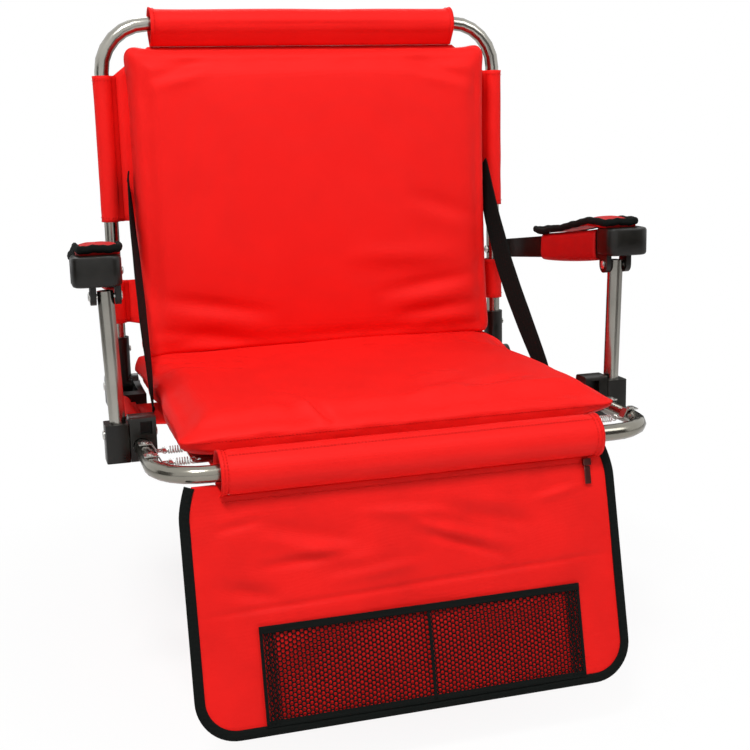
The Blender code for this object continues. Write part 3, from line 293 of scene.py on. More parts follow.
def math_node(tree, operation, first, second):
    """One sum on two values or outputs."""
    node = add_node(tree, "ShaderNodeMath", {"operation": operation})
    fed(tree, first, node.inputs[0])
    fed(tree, second, node.inputs[1])
    return node.outputs[0]


def bands(tree, place, axis, pitch):
    """Even bands across one axis, a full turn every pitch."""
    node = add_node(tree, "ShaderNodeTexWave", {"bands_direction": axis}, {
        "Scale": 2 * math.pi / (20 * pitch), "Distortion": 0.0, "Vector": place})
    return node.outputs["Fac"]


def noise(tree, place, scale, detail, stretch=None):
    """Noise at so many spots a metre, stretched along an axis where that is given."""
    if stretch:
        mapping = add_node(tree, "ShaderNodeMapping", None, {"Scale": stretch, "Vector": place})
        place = mapping.outputs["Vector"]
    node = add_node(tree, "ShaderNodeTexNoise", None, {"Scale": scale, "Detail": detail, "Vector": place})
    return node.outputs["Fac"]


def colour_ramp(tree, factor, stops):
    """A blend between two colours at two places of the factor."""
    node = add_node(tree, "ShaderNodeValToRGB", None, {"Fac": factor})
    for element, (position, colour) in zip(node.color_ramp.elements, stops):
        element.position = position
        element.color = (*colour, 1)
    return node.outputs["Color"]


def mixed(tree, factor, first, second):
    """A mix of two colours by a factor."""
    node = add_node(tree, "ShaderNodeMix", {"data_type": "RGBA"})
    fed(tree, factor, node.inputs[0])
    for socket, value in zip([s for s in node.inputs if s.type == "RGBA"], (first, second)):
        fed(tree, value if hasattr(value, "links") else (*value, 1), socket)
    return [s for s in node.outputs if s.type == "RGBA"][0]


def bump(tree, shader, layers):
    """Bumps laid over each other: (height, strength, distance) each."""
    below = None
    for height, strength, distance in layers:
        node = add_node(tree, "ShaderNodeBump", None, {
            "Strength": strength, "Distance": distance, "Height": height})
        if below is not None:
            tree.links.new(below, node.inputs["Normal"])
        below = node.outputs["Normal"]
    tree.links.new(below, shader.inputs["Normal"])


def spread(tree, shader, factor, low, high):
    """Roughness that varies between two values."""
    node = add_node(tree, "ShaderNodeMapRange", None, {"To Min": low, "To Max": high, "Value": factor})
    tree.links.new(node.outputs["Result"], shader.inputs["Roughness"])


def woven(name, colour, dark, pitch, roughness, sheen):
    """Plain woven cloth with thread bumps, faint slubs and uneven dye."""
    finish, tree, shader, place = start_finish(name, colour, roughness)
    x, y, z = (bands(tree, place, axis, pitch) for axis in "XYZ")
    first, second, third = (math_node(tree, "MULTIPLY", a, b) for a, b in ((x, z), (x, y), (y, z)))
    threads = math_node(tree, "ADD", math_node(tree, "ADD", first, second), third)
    slub = noise(tree, place, 900, 2)
    wide = colour_ramp(tree, noise(tree, place, 22, 4), [(0.32, dark), (0.62, colour)])
    lighter = tuple(min(1.0, part * 1.12 + 0.004) for part in colour)
    worn = mixed(tree, math_node(tree, "MULTIPLY", slub, 0.35), wide, lighter)
    tree.links.new(worn, shader.inputs["Base Color"])
    spread(tree, shader, slub, roughness - 0.07, roughness + 0.09)
    bump(tree, shader, [
        (threads, 0.35, 0.00018), (slub, 0.25, 0.00015), (noise(tree, place, 140, 3), 0.18, 0.0005),
    ])
    shader.inputs["Sheen Weight"].default_value = sheen
    shader.inputs["Sheen Roughness"].default_value = 0.45
    shader.inputs["Sheen Tint"].default_value = (*[min(1.0, part + 0.10) for part in colour], 1)
    shader.inputs["Specular IOR Level"].default_value = 0.16
    return finish


def ribbed(name, colour, pitch):
    """Woven tape: close cross ribs with dusty crests."""
    finish, tree, shader, place = start_finish(name, colour, 0.78)
    x, y, z = (bands(tree, place, axis, pitch) for axis in "XYZ")
    ribs = math_node(tree, "ADD", math_node(tree, "ADD", x, y), z)
    fuzz = noise(tree, place, 1500, 2)
    wide = noise(tree, place, 60, 3)
    crest = tuple(part * 1.8 + 0.002 for part in colour)
    tone = mixed(tree, math_node(tree, "MULTIPLY", ribs, 0.22), colour, crest)
    dusted = mixed(tree, math_node(tree, "MULTIPLY", wide, 0.30), tone, crest)
    tree.links.new(dusted, shader.inputs["Base Color"])
    spread(tree, shader, fuzz, 0.68, 0.90)
    bump(tree, shader, [(ribs, 0.5, 0.00025), (fuzz, 0.35, 0.00015)])
    shader.inputs["Sheen Weight"].default_value = 0.01
    shader.inputs["Specular IOR Level"].default_value = 0.05
    return finish


def metal(name, colour, low, high, stretch):
    """Drawn or plated metal with fine drawing lines and soft handling marks."""
    finish, tree, shader, place = start_finish(name, colour, low, 1.0)
    lines = noise(tree, place, 1400, 2, stretch)
    marks = noise(tree, place, 35, 4)
    dull = tuple(part * 0.86 for part in colour)
    tree.links.new(colour_ramp(tree, marks, [(0.30, dull), (0.65, colour)]), shader.inputs["Base Color"])
    halves = [math_node(tree, "MULTIPLY", value, 0.5) for value in (lines, marks)]
    spread(tree, shader, math_node(tree, "ADD", *halves), low, high)
    bump(tree, shader, [(lines, 0.10, 0.00008)])
    return finish


def plastic(name, colour, roughness):
    """Moulded plastic with a fine grain, a few scuffs and faintly dusty high spots."""
    finish, tree, shader, place = start_finish(name, colour, roughness)
    grain = noise(tree, place, 2200, 2)
    scuffs = noise(tree, place, 90, 5, (1.0, 0.35, 1.0))
    dusty = tuple(part * 1.6 + 0.002 for part in colour)
    tree.links.new(colour_ramp(tree, scuffs, [(0.42, colour), (0.74, dusty)]), shader.inputs["Base Color"])
    spread(tree, shader, scuffs, roughness - 0.08, roughness + 0.14)
    bump(tree, shader, [(grain, 0.28, 0.00012), (scuffs, 0.10, 0.0003)])
    shader.inputs["Specular IOR Level"].default_value = 0.34
    return finish


def lit_floor():
    """Pale floor that keeps the object's shadow and turns plain white away from it."""
    finish, tree, shader, place = start_finish("pale_floor", (0.93, 0.93, 0.93), 0.9)
    tone = colour_ramp(tree, noise(tree, place, 3, 2), [(0.3, (0.925,) * 3), (0.7, (0.94,) * 3)])
    tree.links.new(tone, shader.inputs["Base Color"])
    shader.inputs["Specular IOR Level"].default_value = 0.0
    away = add_node(tree, "ShaderNodeVectorMath", {"operation": "LENGTH"}, {"Vector": place})
    ring = add_node(tree, "ShaderNodeMapRange", None, {
        "From Min": 0.15, "From Max": 0.55, "To Min": 0.80, "To Max": 1.0, "Value": away.outputs["Value"]})
    seen = tree.nodes.new("ShaderNodeLightPath").outputs["Is Camera Ray"]
    white = add_node(tree, "ShaderNodeEmission", None, {"Color": (1, 1, 1, 1)})
    share = math_node(tree, "MULTIPLY", seen, ring.outputs["Result"])
    mix = tree.nodes.new("ShaderNodeMixShader")
    for socket, value in zip(mix.inputs, (share, shader.outputs[0], white.outputs[0])):
        tree.links.new(value, socket)
    tree.links.new(mix.outputs[0], tree.nodes["Material Output"].inputs["Surface"])
    return finish


RED, RED_DEEP = (0.86, 0.0085, 0.0060), (0.82, 0.0076, 0.0054)
red_cloth = woven("red_cloth", RED, RED_DEEP, 0.0009, 0.56, 0.10)
# Darker copy of the red cloth for the arm covers and pads: painted shade, since the cloth itself is the same
# red
cover_red_painted_shade = woven("cover_red_painted_shade", (0.50, 0.0065, 0.0060), (0.42, 0.0050, 0.0050), 0.0009, 0.55, 0.06)
red_thread = ribbed("red_thread", (0.60, 0.010, 0.008), 0.0006)
# Darker copy of the red cloth for the hanging flap: painted shade, since the flap is the same red cloth, here
# with less sheen
flap_red_painted_shade = woven("flap_red_painted_shade", (0.80, 0.0075, 0.0050), (0.70, 0.0060, 0.0040), 0.0009, 0.56, 0.02)
black_webbing = ribbed("black_webbing", (0.0050, 0.0055, 0.0050), 0.0016)
black_tape = ribbed("black_tape", (0.0040, 0.0050, 0.0045), 0.0011)
black_net = ribbed("black_net", (0.0045, 0.0035, 0.0035), 0.0007)
tube_metal = metal("tube_metal", (0.39, 0.375, 0.335), 0.14, 0.26, (1.0, 1.0, 0.03))
# Darker copy of the tube metal for the seat frame: painted shade and darker painted reflection on the bar
rail_metal_painted_shade = metal("rail_metal_painted_shade", (0.28, 0.265, 0.225), 0.14, 0.26, (1.0, 0.03, 1.0))
steel = metal("bright_steel", (0.66, 0.65, 0.62), 0.20, 0.36, (1.0, 1.0, 1.0))
zip_metal = metal("dark_zip_metal", (0.17, 0.055, 0.05), 0.22, 0.38, (1.0, 1.0, 1.0))
black_plastic = plastic("black_plastic", (0.0040, 0.0034, 0.0022), 0.29)


# Hard parts keep their solids and take the better finishes

def smooth_group():
    """Node group that joins a solid's touching corners and shades its shallow edges smooth."""
    group = bpy.data.node_groups.new("smooth_solid", "GeometryNodeTree")
    for way in ("INPUT", "OUTPUT"):
        group.interface.new_socket("Geometry", in_out=way, socket_type="NodeSocketGeometry")
    start, end = group.nodes.new("NodeGroupInput"), group.nodes.new("NodeGroupOutput")
    merge = add_node(group, "GeometryNodeMergeByDistance", None, {
        "Distance": 2e-6, "Geometry": start.outputs[0]})
    drop = add_node(group, "GeometryNodeRemoveAttribute", None, {
        "Name": "custom_normal", "Geometry": merge.outputs["Geometry"]})
    faces = add_node(group, "GeometryNodeSetShadeSmooth", {"domain": "FACE"}, {
        "Geometry": drop.outputs["Geometry"]})
    angle = group.nodes.new("GeometryNodeInputMeshEdgeAngle")
    shallow = add_node(group, "FunctionNodeCompare", {"operation": "LESS_THAN"}, {
        "A": angle.outputs["Unsigned Angle"], "B": math.radians(40)})
    edges = add_node(group, "GeometryNodeSetShadeSmooth", {"domain": "EDGE"}, {
        "Geometry": faces.outputs["Geometry"], "Shade Smooth": shallow.outputs["Result"]})
    group.links.new(edges.outputs["Geometry"], end.inputs[0])
    return group


def finish_hard_parts():
    """Gives each rigid solid its metal or plastic, and smooth round faces."""
    group = smooth_group()
    finishes = {
        "seat_frame": rail_metal_painted_shade, "back_frame": tube_metal, "post_left": tube_metal,
        "post_right": tube_metal, "zip_slider": zip_metal, "zip_pull": zip_metal,
    }
    plastic_starts = ("arm_left", "arm_right", "post_socket", "rail_clamp", "rear_foot", "back_socket")
    steel_starts = (
        "arm_pin", "cross_rivet", "hinge_pin", "post_pin", "post_top_rivet", "spring", "edge_plate")
    for name, node in frame["nodes"].items():
        finish = finishes.get(name)
        if finish is None and name.startswith(plastic_starts):
            finish = black_plastic
        if finish is None and name.startswith(steel_starts):
            finish = steel
        if finish is None:
            continue
        node.data.materials.clear()
        node.data.materials.append(finish)
        smooth = node.modifiers.new("smooth_solid", "NODES")
        smooth.node_group = group


# Cushions

def cushion_outline(half, low, high, radius, draw, count=18):
    """Round corners joined by sides that draw in at their middle, as points across and along."""
    corners = (
        ((half - radius, high - radius), 0), ((-half + radius, high - radius), 90),
        ((-half + radius, low + radius), 180), ((half - radius, low + radius), 270),
    )
    points = []
    for number, ((cu, cv), start) in enumerate(corners):
        turned = [math.radians(start + 90 * step / 6) for step in range(7)]
        points += [(cu + radius * math.cos(a), cv + radius * math.sin(a)) for a in turned]
        (nu, nv), following = corners[(number + 1) % 4]
        a = math.radians(following)
        goal = (nu + radius * math.cos(a), nv + radius * math.sin(a))
        here = points[-1]
        away = math.radians(start + 90)
        for step in range(1, count):
            share = step / count
            pull = draw * math.sin(math.pi * share)
            points.append((
                here[0] + (goal[0] - here[0]) * share - math.cos(away) * pull,
                here[1] + (goal[1] - here[1]) * share - math.sin(away) * pull,
            ))
    return np.array(points)


def cushion_start(half, low, high, thickness, edge, radius, draw):
    """The slack cushion as points across, along and up, before it is filled."""
    outline = cushion_outline(half, low, high, radius, draw)
    middle, along_half = (low + high) / 2, (high - low) / 2
    levels = []
    for angle in np.linspace(-90, 90, 13):
        turn = math.radians(angle)
        levels.append((edge * (1 - math.cos(turn)), thickness / 2 * (1 + math.sin(turn))))
    points = []
    for inset, up in levels:
        for u, v in outline:
            points.append((u * (1 - inset / half), middle + (v - middle) * (1 - inset / along_half), up))
    count = len(outline)
    faces = ring_faces(len(levels), count)
    faces.append(tuple(reversed(range(count))))
    faces.append(tuple(range((len(levels) - 1) * count, len(levels) * count)))
    return points, faces


def vertex_array(mesh):
    """A mesh's points, one to a row."""
    values = np.zeros(len(mesh.vertices) * 3)
    mesh.vertices.foreach_get("co", values)
    return values.reshape(-1, 3)


def applied(obj):
    """Bakes the object's modifiers into its mesh."""
    graph = bpy.context.evaluated_depsgraph_get()
    mesh = bpy.data.meshes.new_from_object(obj.evaluated_get(graph))
    obj.modifiers.clear()
    obj.data = mesh


def inflate(obj, voxel, pressure, cap, pinned, frames=20):
    """Fills a slack form by cloth simulation: no point moves further than about the cap."""
    remesh = obj.modifiers.new("even", "REMESH")
    remesh.mode = "VOXEL"
    remesh.voxel_size = voxel
    applied(obj)
    before = vertex_array(obj.data)
    group = obj.vertex_groups.new(name="held")
    for number in np.nonzero(pinned(before))[0]:
        group.add([int(number)], 1.0, "REPLACE")
    cloth = obj.modifiers.new("fill", "CLOTH")
    cloth.settings.quality = 5
    cloth.settings.mass = 0.2
    cloth.settings.tension_stiffness = 18
    cloth.settings.compression_stiffness = 18
    cloth.settings.bending_stiffness = 0.6
    cloth.settings.use_pressure = True
    cloth.settings.uniform_pressure_force = pressure
    cloth.settings.effector_weights.gravity = 0
    cloth.settings.vertex_group_mass = "held"
    cloth.point_cache.frame_start = 1
    cloth.point_cache.frame_end = frames
    for number in range(1, frames + 1):
        bpy.context.scene.frame_set(number)
    applied(obj)
    bpy.context.scene.frame_set(1)
    after = vertex_array(obj.data)
    move = after - before
    length = np.linalg.norm(move, axis=1, keepdims=True)
    move = move * (cap * np.tanh(length / cap) / np.maximum(length, 1e-9))
    obj.data.vertices.foreach_set("co", (before + move).ravel())
    obj.vertex_groups.clear()
    smoother = obj.modifiers.new("even", "SMOOTH")
    smoother.iterations = 3
    smoother.factor = 0.4
    finer = obj.modifiers.new("finer", "SUBSURF")
    finer.levels = 1
    finer.render_levels = 1
    applied(obj)


def add_thread(obj, runs, finish):
    """Sews stitches into an object's own mesh, so that they stay on it."""
    points, faces = thread(runs)
    extra = make_object(obj.name + "_thread", points, faces, [finish])
    shape = bmesh.new()
    shape.from_mesh(obj.data)
    whole = len(shape.faces)
    shape.from_mesh(extra.data)
    shape.faces.ensure_lookup_table()
    obj.data.materials.append(finish)
    slot_number = len(obj.data.materials) - 1
    for face in shape.faces[whole:]:
        face.material_index = slot_number
    shape.to_mesh(obj.data)
    shape.free()
    bpy.data.objects.remove(extra)


def finish_cushion(obj, size, to_world, shaping, finish):
    """Lays the sewn wrinkles into a filled cushion and turns it into the chair's axes."""
    local = fitted(vertex_array(obj.data), *size)
    local = local + shaping(local)
    world = to_world(local)
    obj.data.vertices.foreach_set("co", world.ravel())
    obj.data.update()
    shape = bmesh.new()
    shape.from_mesh(obj.data)
    bmesh.ops.recalc_face_normals(shape, faces=shape.faces)
    for face in shape.faces:
        face.smooth = True
    shape.to_mesh(obj.data)
    shape.free()
    obj.data.materials.clear()
    obj.data.materials.append(finish)


def fitted(points, half, low, high, thickness):
    """The filled form brought to its cushion's width, length and height, its face kept level."""
    u, v, w = points.T.copy()
    u = u * half / np.abs(u).max()
    v = low + (v - v.min()) * (high - low) / (v.max() - v.min())
    w = w * thickness / np.percentile(w, 90)
    return np.stack([u, v, np.maximum(w, 0.0)], axis=1)


def pinched(u, v, w, corner, reach, middle, amount):
    """How far a pillow's corner thins toward the middle of its thickness."""
    near = np.exp(-((u - corner[0]) ** 2 + (v - corner[1]) ** 2) / reach ** 2)
    return -(w - middle) * amount * near


def crown(u, v, half, low, high):
    """0 at a cushion's edges and 1 over most of its middle."""
    along = (2 * v - low - high) / (high - low)
    return np.clip(1 - np.abs(u / half) ** 2.6, 0, 1) * np.clip(1 - np.abs(along) ** 2.6, 0, 1)


def corner_pull(u, v, corner, reach, amount):
    """How far the cloth near one corner is drawn toward it, across and along."""
    near = np.exp(-((u - corner[0]) ** 2 + (v - corner[1]) ** 2) / reach ** 2)
    return near * amount[0], near * amount[1]


def slack_cushion(name, half, low, high, thickness, radius):
    """A cushion's slack form, filled by the simulation."""
    points, faces = cushion_start(half, low, high, thickness, 0.007, radius, 0.001)
    obj = make_object(name, points, faces, [red_cloth])
    inflate(obj, 0.0055, 4.0, 0.0030, lambda p: p[:, 2] < 0.0035)
    return obj


def back_cushion():
    """The upright pad: a low crown, full rolled edges, a seam round its edge and a few slack ripples."""
    low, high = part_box("back_cushion")
    half = (high.x - low.x) / 2
    bottom, top = low.z, high.z
    thickness = BACK_CUSHION_THICKNESS
    obj = slack_cushion("back_cushion_cover", half, bottom, top, thickness, 0.011)

    def shaping(p):
        u, v, w = p.T
        face = smoothstep(0.45 * thickness, 0.95 * thickness, w)
        edge_u, edge_v = half - np.abs(u), np.minimum(v - bottom, top - v)
        edge = np.minimum(edge_u, edge_v)
        rim = np.exp(-((edge - 0.015) / 0.006) ** 2)
        lift = 0.0066 * crown(u, v, half, bottom, top) + 0.0011 * ripple(u * 22, v * 22, 3)
        lift = lift - 0.0016 * rim
        lift = lift + 0.0012 * rim * ripple(u * 70, v * 70, 5)
        above = smoothstep(bottom + 0.03, bottom + 0.08, v)
        lift = lift - 0.0035 * (1 - smoothstep(0.0, 0.030, edge)) * above
        lift = creased(lift, u, v, (
            ((-0.200, 0.128), (-0.05, 0.100), 0.0090, -0.0042),
            ((0.06, 0.118), (0.200, 0.135), 0.0090, -0.0046),
            ((0.02, 0.165), (0.18, 0.158), 0.0110, 0.0030),
            ((0.08, 0.090), (0.205, 0.100), 0.0070, -0.0036),
            ((-0.205, 0.090), (-0.09, 0.078), 0.0070, -0.0034),
            ((0.10, 0.235), (0.195, 0.200), 0.0095, -0.0026),
            ((0.10, 0.385), (0.195, 0.360), 0.0065, -0.0028),
            ((-0.195, 0.365), (-0.12, 0.385), 0.0060, -0.0024),
        ))
        foot = smoothstep(bottom + 0.045, bottom, v)
        side = np.clip(1 - face, 0, 1) * smoothstep(0.002, 0.012, w)
        pucker = 0.0009 * side * ripple(u * 150, v * 150, 2)
        out = np.zeros_like(p)
        out[:, 2] = lift * face
        out[:, 0] = np.sign(u) * pucker * (edge_u < 0.012)
        out[:, 1] = np.sign(v - (bottom + top) / 2) * pucker * (edge_v < 0.012)
        for corner, amount in (
            ((half, top), (0.0005, 0.0030)), ((-half, top), (-0.0030, 0.0035)),
            ((half, bottom), (0.0012, 0.0)), ((-half, bottom), (-0.0015, -0.0015)),
        ):
            across, along = corner_pull(u, v, corner, 0.026, amount)
            out[:, 0] += across
            out[:, 1] += along
        out[:, 0] += 0.0034 * smoothstep(0.30, 0.06, v) * smoothstep(0.10, half, u)
        out[:, 1] -= 0.0034 * foot * smoothstep(0.2 * thickness, 0.9 * thickness, w)
        return out

    def to_world(p):
        return np.stack([p[:, 0], -0.0016 - np.maximum(p[:, 2], 0.0), p[:, 1]], axis=1)

    finish_cushion(obj, (half, bottom, top, thickness), to_world, shaping, red_cloth)
    sew_edge(obj, half, bottom, top, thickness, to_world)
    settle(obj, "back", "red_cloth", "back_cushion")
    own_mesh(obj)


def seat_cushion():
    """The pad to sit on: full at the rear, thin at its front corners, wrinkled where it meets the roll."""
    low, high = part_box("seat_cushion")
    half = (high.x - low.x) / 2
    front, rear, base = low.y, high.y, low.z
    thickness = SEAT_CUSHION_THICKNESS
    obj = slack_cushion("seat_cushion_cover", half, front, rear, thickness, 0.010)

    def shaping(p):
        u, v, w = p.T
        face = smoothstep(0.40 * thickness, 0.95 * thickness, w)
        edge_u, edge_v = half - np.abs(u), np.minimum(v - front, rear - v)
        edge = np.minimum(edge_u, edge_v)
        rim = np.exp(-((edge - 0.015) / 0.007) ** 2)
        front_share = smoothstep(-0.20, -0.36, v)
        lift = 0.0064 * crown(u, v, half, front, rear) + 0.0012 * ripple(u * 20, v * 20, 8)
        lift = lift - 0.0015 * rim + 0.0014 * rim * ripple(u * 65, v * 65, 4)
        lift = creased(lift, u, v, (
            ((-0.096, -0.322), (-0.074, -0.368), 0.0036, -0.0066),
            ((-0.118, -0.295), (-0.090, -0.350), 0.0070, 0.0034),
            ((0.060, -0.330), (0.150, -0.300), 0.0100, -0.0042),
            ((0.105, -0.345), (0.190, -0.335), 0.0075, 0.0036),
            ((0.020, -0.300), (0.085, -0.270), 0.0110, 0.0034),
            ((0.000, -0.345), (0.075, -0.325), 0.0080, 0.0034),
            ((-0.210, -0.090), (-0.110, -0.160), 0.0090, -0.0042),
            ((-0.210, -0.060), (-0.150, -0.105), 0.0070, -0.0034),
            ((0.150, -0.080), (0.205, -0.150), 0.0085, -0.0022),
        ))
        lift = lift + 0.0011 * front_share * ripple(u * 90, v * 30, 6)
        out = np.zeros_like(p)
        out[:, 2] = lift * face
        side = np.clip(1 - face, 0, 1) * smoothstep(0.002, 0.012, w)
        out[:, 1] = 0.0010 * side * front_share * ripple(u * 120, w * 90, 3)
        out[:, 0] = np.sign(u) * 0.0009 * side * (edge_u < 0.012) * ripple(v * 120, w * 90, 9)
        for corner, amount in (
            ((half, front), (-0.0035, 0.0015)), ((-half, front), (-0.0030, 0.0010)),
        ):
            across, along = corner_pull(u, v, corner, 0.030, amount)
            out[:, 0] += across
            out[:, 1] += along
        over = smoothstep(0.0150, 0.0230, w)
        beside = smoothstep(-0.100, -0.084, v) * smoothstep(half - 0.030, half - 0.008, np.abs(u))
        out[:, 0] -= np.sign(u) * 0.0038 * beside * (1 - over)
        out[:, 0] -= 0.0045 * over * np.exp(-((u + half) ** 2 + (v - rear) ** 2) / 0.030 ** 2)
        under = np.clip(1 - w / (0.5 * thickness), 0, 1)
        out[:, 2] += 0.0055 * under * np.exp(-(np.maximum(edge, 0) / 0.014) ** 2)
        out[:, 2] += pinched(u, v, w, (half, front), 0.040, 0.6 * thickness, 0.42)
        out[:, 2] += pinched(u, v, w, (-half, front), 0.034, 0.6 * thickness, 0.30)
        out[:, 2] += 0.0034 * smoothstep(rear - 0.090, rear - 0.045, v) * face
        fall = (1 - smoothstep(0.0, 0.034, edge)) * smoothstep(rear - 0.055, rear - 0.115, v)
        out[:, 2] -= 0.0085 * fall * face
        out[:, 0] += 0.0060 * np.exp(-((v + 0.160) / 0.045) ** 2) * smoothstep(-0.10, -half, u)
        return out

    def to_world(p):
        return np.stack([p[:, 0], p[:, 1], base + np.maximum(p[:, 2], 0.0)], axis=1)

    finish_cushion(obj, (half, front, rear, thickness), to_world, shaping, red_cloth)
    sew_edge(obj, half, front, rear, thickness, to_world)
    settle(obj, "seat", "red_cloth", "seat_cushion")
    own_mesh(obj)


def sew_edge(obj, half, low, high, thickness, to_world):
    """A row of stitches round the cushion, laid on its rolled edge by looking for the cloth there."""
    outline = cushion_outline(half, low, high, 0.022, 0.003, 40)
    middle = np.array([0.0, (low + high) / 2])
    graph = bpy.context.evaluated_depsgraph_get()
    graph.update()
    runs, path, outs = [], [], []
    for u, v in list(outline) + [tuple(outline[0])]:
        inward = middle - np.array([u, v])
        inward = inward / np.linalg.norm(inward)
        start = np.array([[u - inward[0] * 0.05, v - inward[1] * 0.05, thickness * 0.5]])
        goal = np.array([[u, v, thickness * 0.5]])
        a, b = to_world(start)[0], to_world(goal)[0]
        hit, place_, normal = obj.ray_cast(Vector(a), Vector(b - a).normalized())[:3]
        if hit:
            path.append(np.array(place_) + np.array(normal) * 0.00025)
            outs.append(np.array(normal))
    for first in range(0, len(path) - 1, 4):
        piece = path[first:first + 5]
        if len(piece) > 1:
            runs.append((piece, outs[min(first + 2, len(outs) - 1)]))
    add_thread(obj, runs, red_thread)


# Slings, wraps and rolls

def sling_grid(rows, half_at, place_at, columns=41):
    """A flat panel whose width changes from row to row."""
    grid = np.zeros((len(rows), columns, 3))
    for number, (row, half) in enumerate(zip(rows, half_at)):
        for column in range(columns):
            across = half * (2 * column / (columns - 1) - 1)
            grid[number, column] = place_at(across, row)
    return grid


def panel_rows(marks):
    """Places along a panel and its half widths there, between (place, half width) marks."""
    rows, widths = [], []
    for (low, first), (high, second) in zip(marks, marks[1:]):
        steps = max(1, round((high - low) / 0.008))
        for step in range(steps):
            rows.append(low + (high - low) * step / steps)
            widths.append(first + (second - first) * step / steps)
    return rows + [marks[-1][0]], widths + [marks[-1][1]]


def back_sling():
    """The cloth panel behind the back cushion, notched between its sleeves."""
    reach = BACK_X - SLING_MEET + SLING_INTO_WRAP
    notch = reach - 0.014
    top = TOP_TAIL_Z - GAP
    corner = 0.181
    marks = [(BACK_SLING_BOTTOM, notch), (LOWER_TAB_Z[0], reach), (LOWER_TAB_Z[1], reach), (0.1437, notch),
             (UPPER_SLEEVE_Z[0], notch), (0.2112, reach), (UPPER_SLEEVE_Z[1], reach), (top, corner)]
    rows, widths = panel_rows(marks)
    grid = sling_grid(rows, widths, lambda x, z: (x, 0.0002 * float(ripple(x * 40, z * 40, 2)), z))
    obj = thick_sheet("back_sling_cloth", grid, PANEL_CLOTH, red_cloth)
    settle(obj, "back", "red_cloth", "back_sling")
    xs = np.linspace(-notch + 0.004, notch - 0.004, 60)
    hem = [([(x, 0.0011, z) for x in xs], (0, 1, 0)) for z in (0.0955, 0.0985)]
    for side in (-1, 1):
        hem.append(([(side * (notch - 0.004), 0.0011, z) for z in np.linspace(0.147, 0.208, 20)], (0, 1, 0)))
        hem.append(([(side * (reach - 0.006), 0.0011, z) for z in np.linspace(0.2145, 0.370, 40)], (0, 1, 0)))
    sewn = stitches("back_sling_stitches", hem, "back")


def seat_sling():
    """The cloth panel under the seat cushion, wide at its bands and narrow between the springs."""
    reach = RAIL_X - SLING_MEET + SLING_INTO_WRAP
    half = 0.190
    marks = [(-0.3742, half), (-0.188, half), (SEAT_BAND_Y[0], reach), (SEAT_BAND_Y[1], reach),
             (-0.082, half), (-0.030, half)]
    rows, widths = panel_rows(marks)
    grid = sling_grid(
        rows, widths, lambda x, y: (x, y, SEAT_SLING_Z + 0.0002 * float(ripple(x * 40, y * 40, 7))))
    obj = thick_sheet("seat_sling_cloth", grid, PANEL_CLOTH, red_cloth)
    settle(obj, "seat", "red_cloth", "seat_sling")
    hem = [([(x, -0.034, 0.0134) for x in np.linspace(-0.185, 0.185, 60)], (0, 0, -1))]
    for side in (-1, 1):
        hem.append(([(side * 0.186, y, 0.0134) for y in np.linspace(-0.355, -0.190, 40)], (0, 0, -1)))
    sewn = stitches("seat_sling_stitches", hem, "seat")


def wrap_section(side, radius, meet, steps=26):
    """Half-open loop round a tube and back to the panel, as (across, out) from the tube's axis."""
    opening = math.asin(min(0.9, (CLOTH / 2 + 0.0006) / radius))
    start = math.pi if side > 0 else 0.0
    turned = np.linspace(start + opening, start + 2 * math.pi - opening, steps)
    loop = [(radius * math.cos(a), radius * math.sin(a)) for a in turned]
    return [(meet, loop[0][1])] + loop + [(meet, loop[-1][1])]


def tube_wrap(name, node, body, side, centre, axis, low, high, seed):
    """A cloth sleeve round a straight tube, drawn back to its panel, with hemmed ends."""
    def placed(across, out, along):
        first, second = centre[0] + across, centre[1] + out
        return (first, second, along) if axis == "Z" else (first, along, second)

    meet = -side * (SLING_MEET - GAP)
    section = np.array(wrap_section(side, SLEEVE_R, meet))
    rows = max(8, round((high - low) / 0.004))
    grid = np.zeros((rows + 1, len(section), 3))
    for row in range(rows + 1):
        share = row / rows
        along = low + (high - low) * share
        hem = math.exp(-((min(share, 1 - share) * (high - low)) / 0.003) ** 2)
        for column, (across, out) in enumerate(section):
            size = math.hypot(across, out)
            inner = column not in (0, len(section) - 1)
            soft = 1 + 0.035 * float(ripple(along * 90, column * 0.5, seed)) * inner + 0.045 * hem
            if size > 0.0115:
                soft = 1.0
            grid[row, column] = placed(across * soft, out * soft, along)
    obj = thick_sheet(name, grid, WRAP_CLOTH, red_cloth)
    settle(obj, body, "red_cloth", node)
    runs = []
    for along in (low + 0.005, high - 0.005):
        for number in range(2, len(section) - 3, 3):
            piece = section[number:number + 4]
            out = piece[1] / max(np.linalg.norm(piece[1]), 1e-9)
            scaled = piece * (1 + 0.0013 / SLEEVE_R)
            facing = (out[0], out[1], 0) if axis == "Z" else (out[0], 0, out[1])
            runs.append(([placed(a, b, along) for a, b in scaled], facing))
    sewn = stitches(name + "_stitches", runs, body)


def roll(name, node, body, line, low, high, columns_along, hems, seam_points):
    """A cloth roll round a bar with open ends: a thin wall that stands clear of the tube."""
    grid, inner = [], []
    for place_ in np.linspace(0, 1, columns_along):
        x = low + (high - low) * place_
        grid.append([(x, y, z) for y, z in line(x, place_, 0.0)])
        inner.append([(x, y, z) for y, z in line(x, place_, -ROLL_WALL)])
    obj = shell(name, np.array(grid), np.array(inner), red_cloth, wrap=True)
    settle(obj, body, "red_cloth", node)
    runs = []
    for x, outline, out_from in hems:
        for number in range(0, len(outline) - 1, 3):
            piece = outline[number:number + 4]
            if len(piece) < 2:
                continue
            out = np.array(piece[len(piece) // 2]) - np.array(out_from)
            out = out / np.linalg.norm(out)
            lifted = [(x, y + out[0] * 0.0002, z + out[1] * 0.0002) for y, z in piece]
            runs.append((lifted, (0, out[0], out[1])))
    runs += seam_points
    sewn = stitches(name + "_stitches", runs, body)
    return obj, sewn


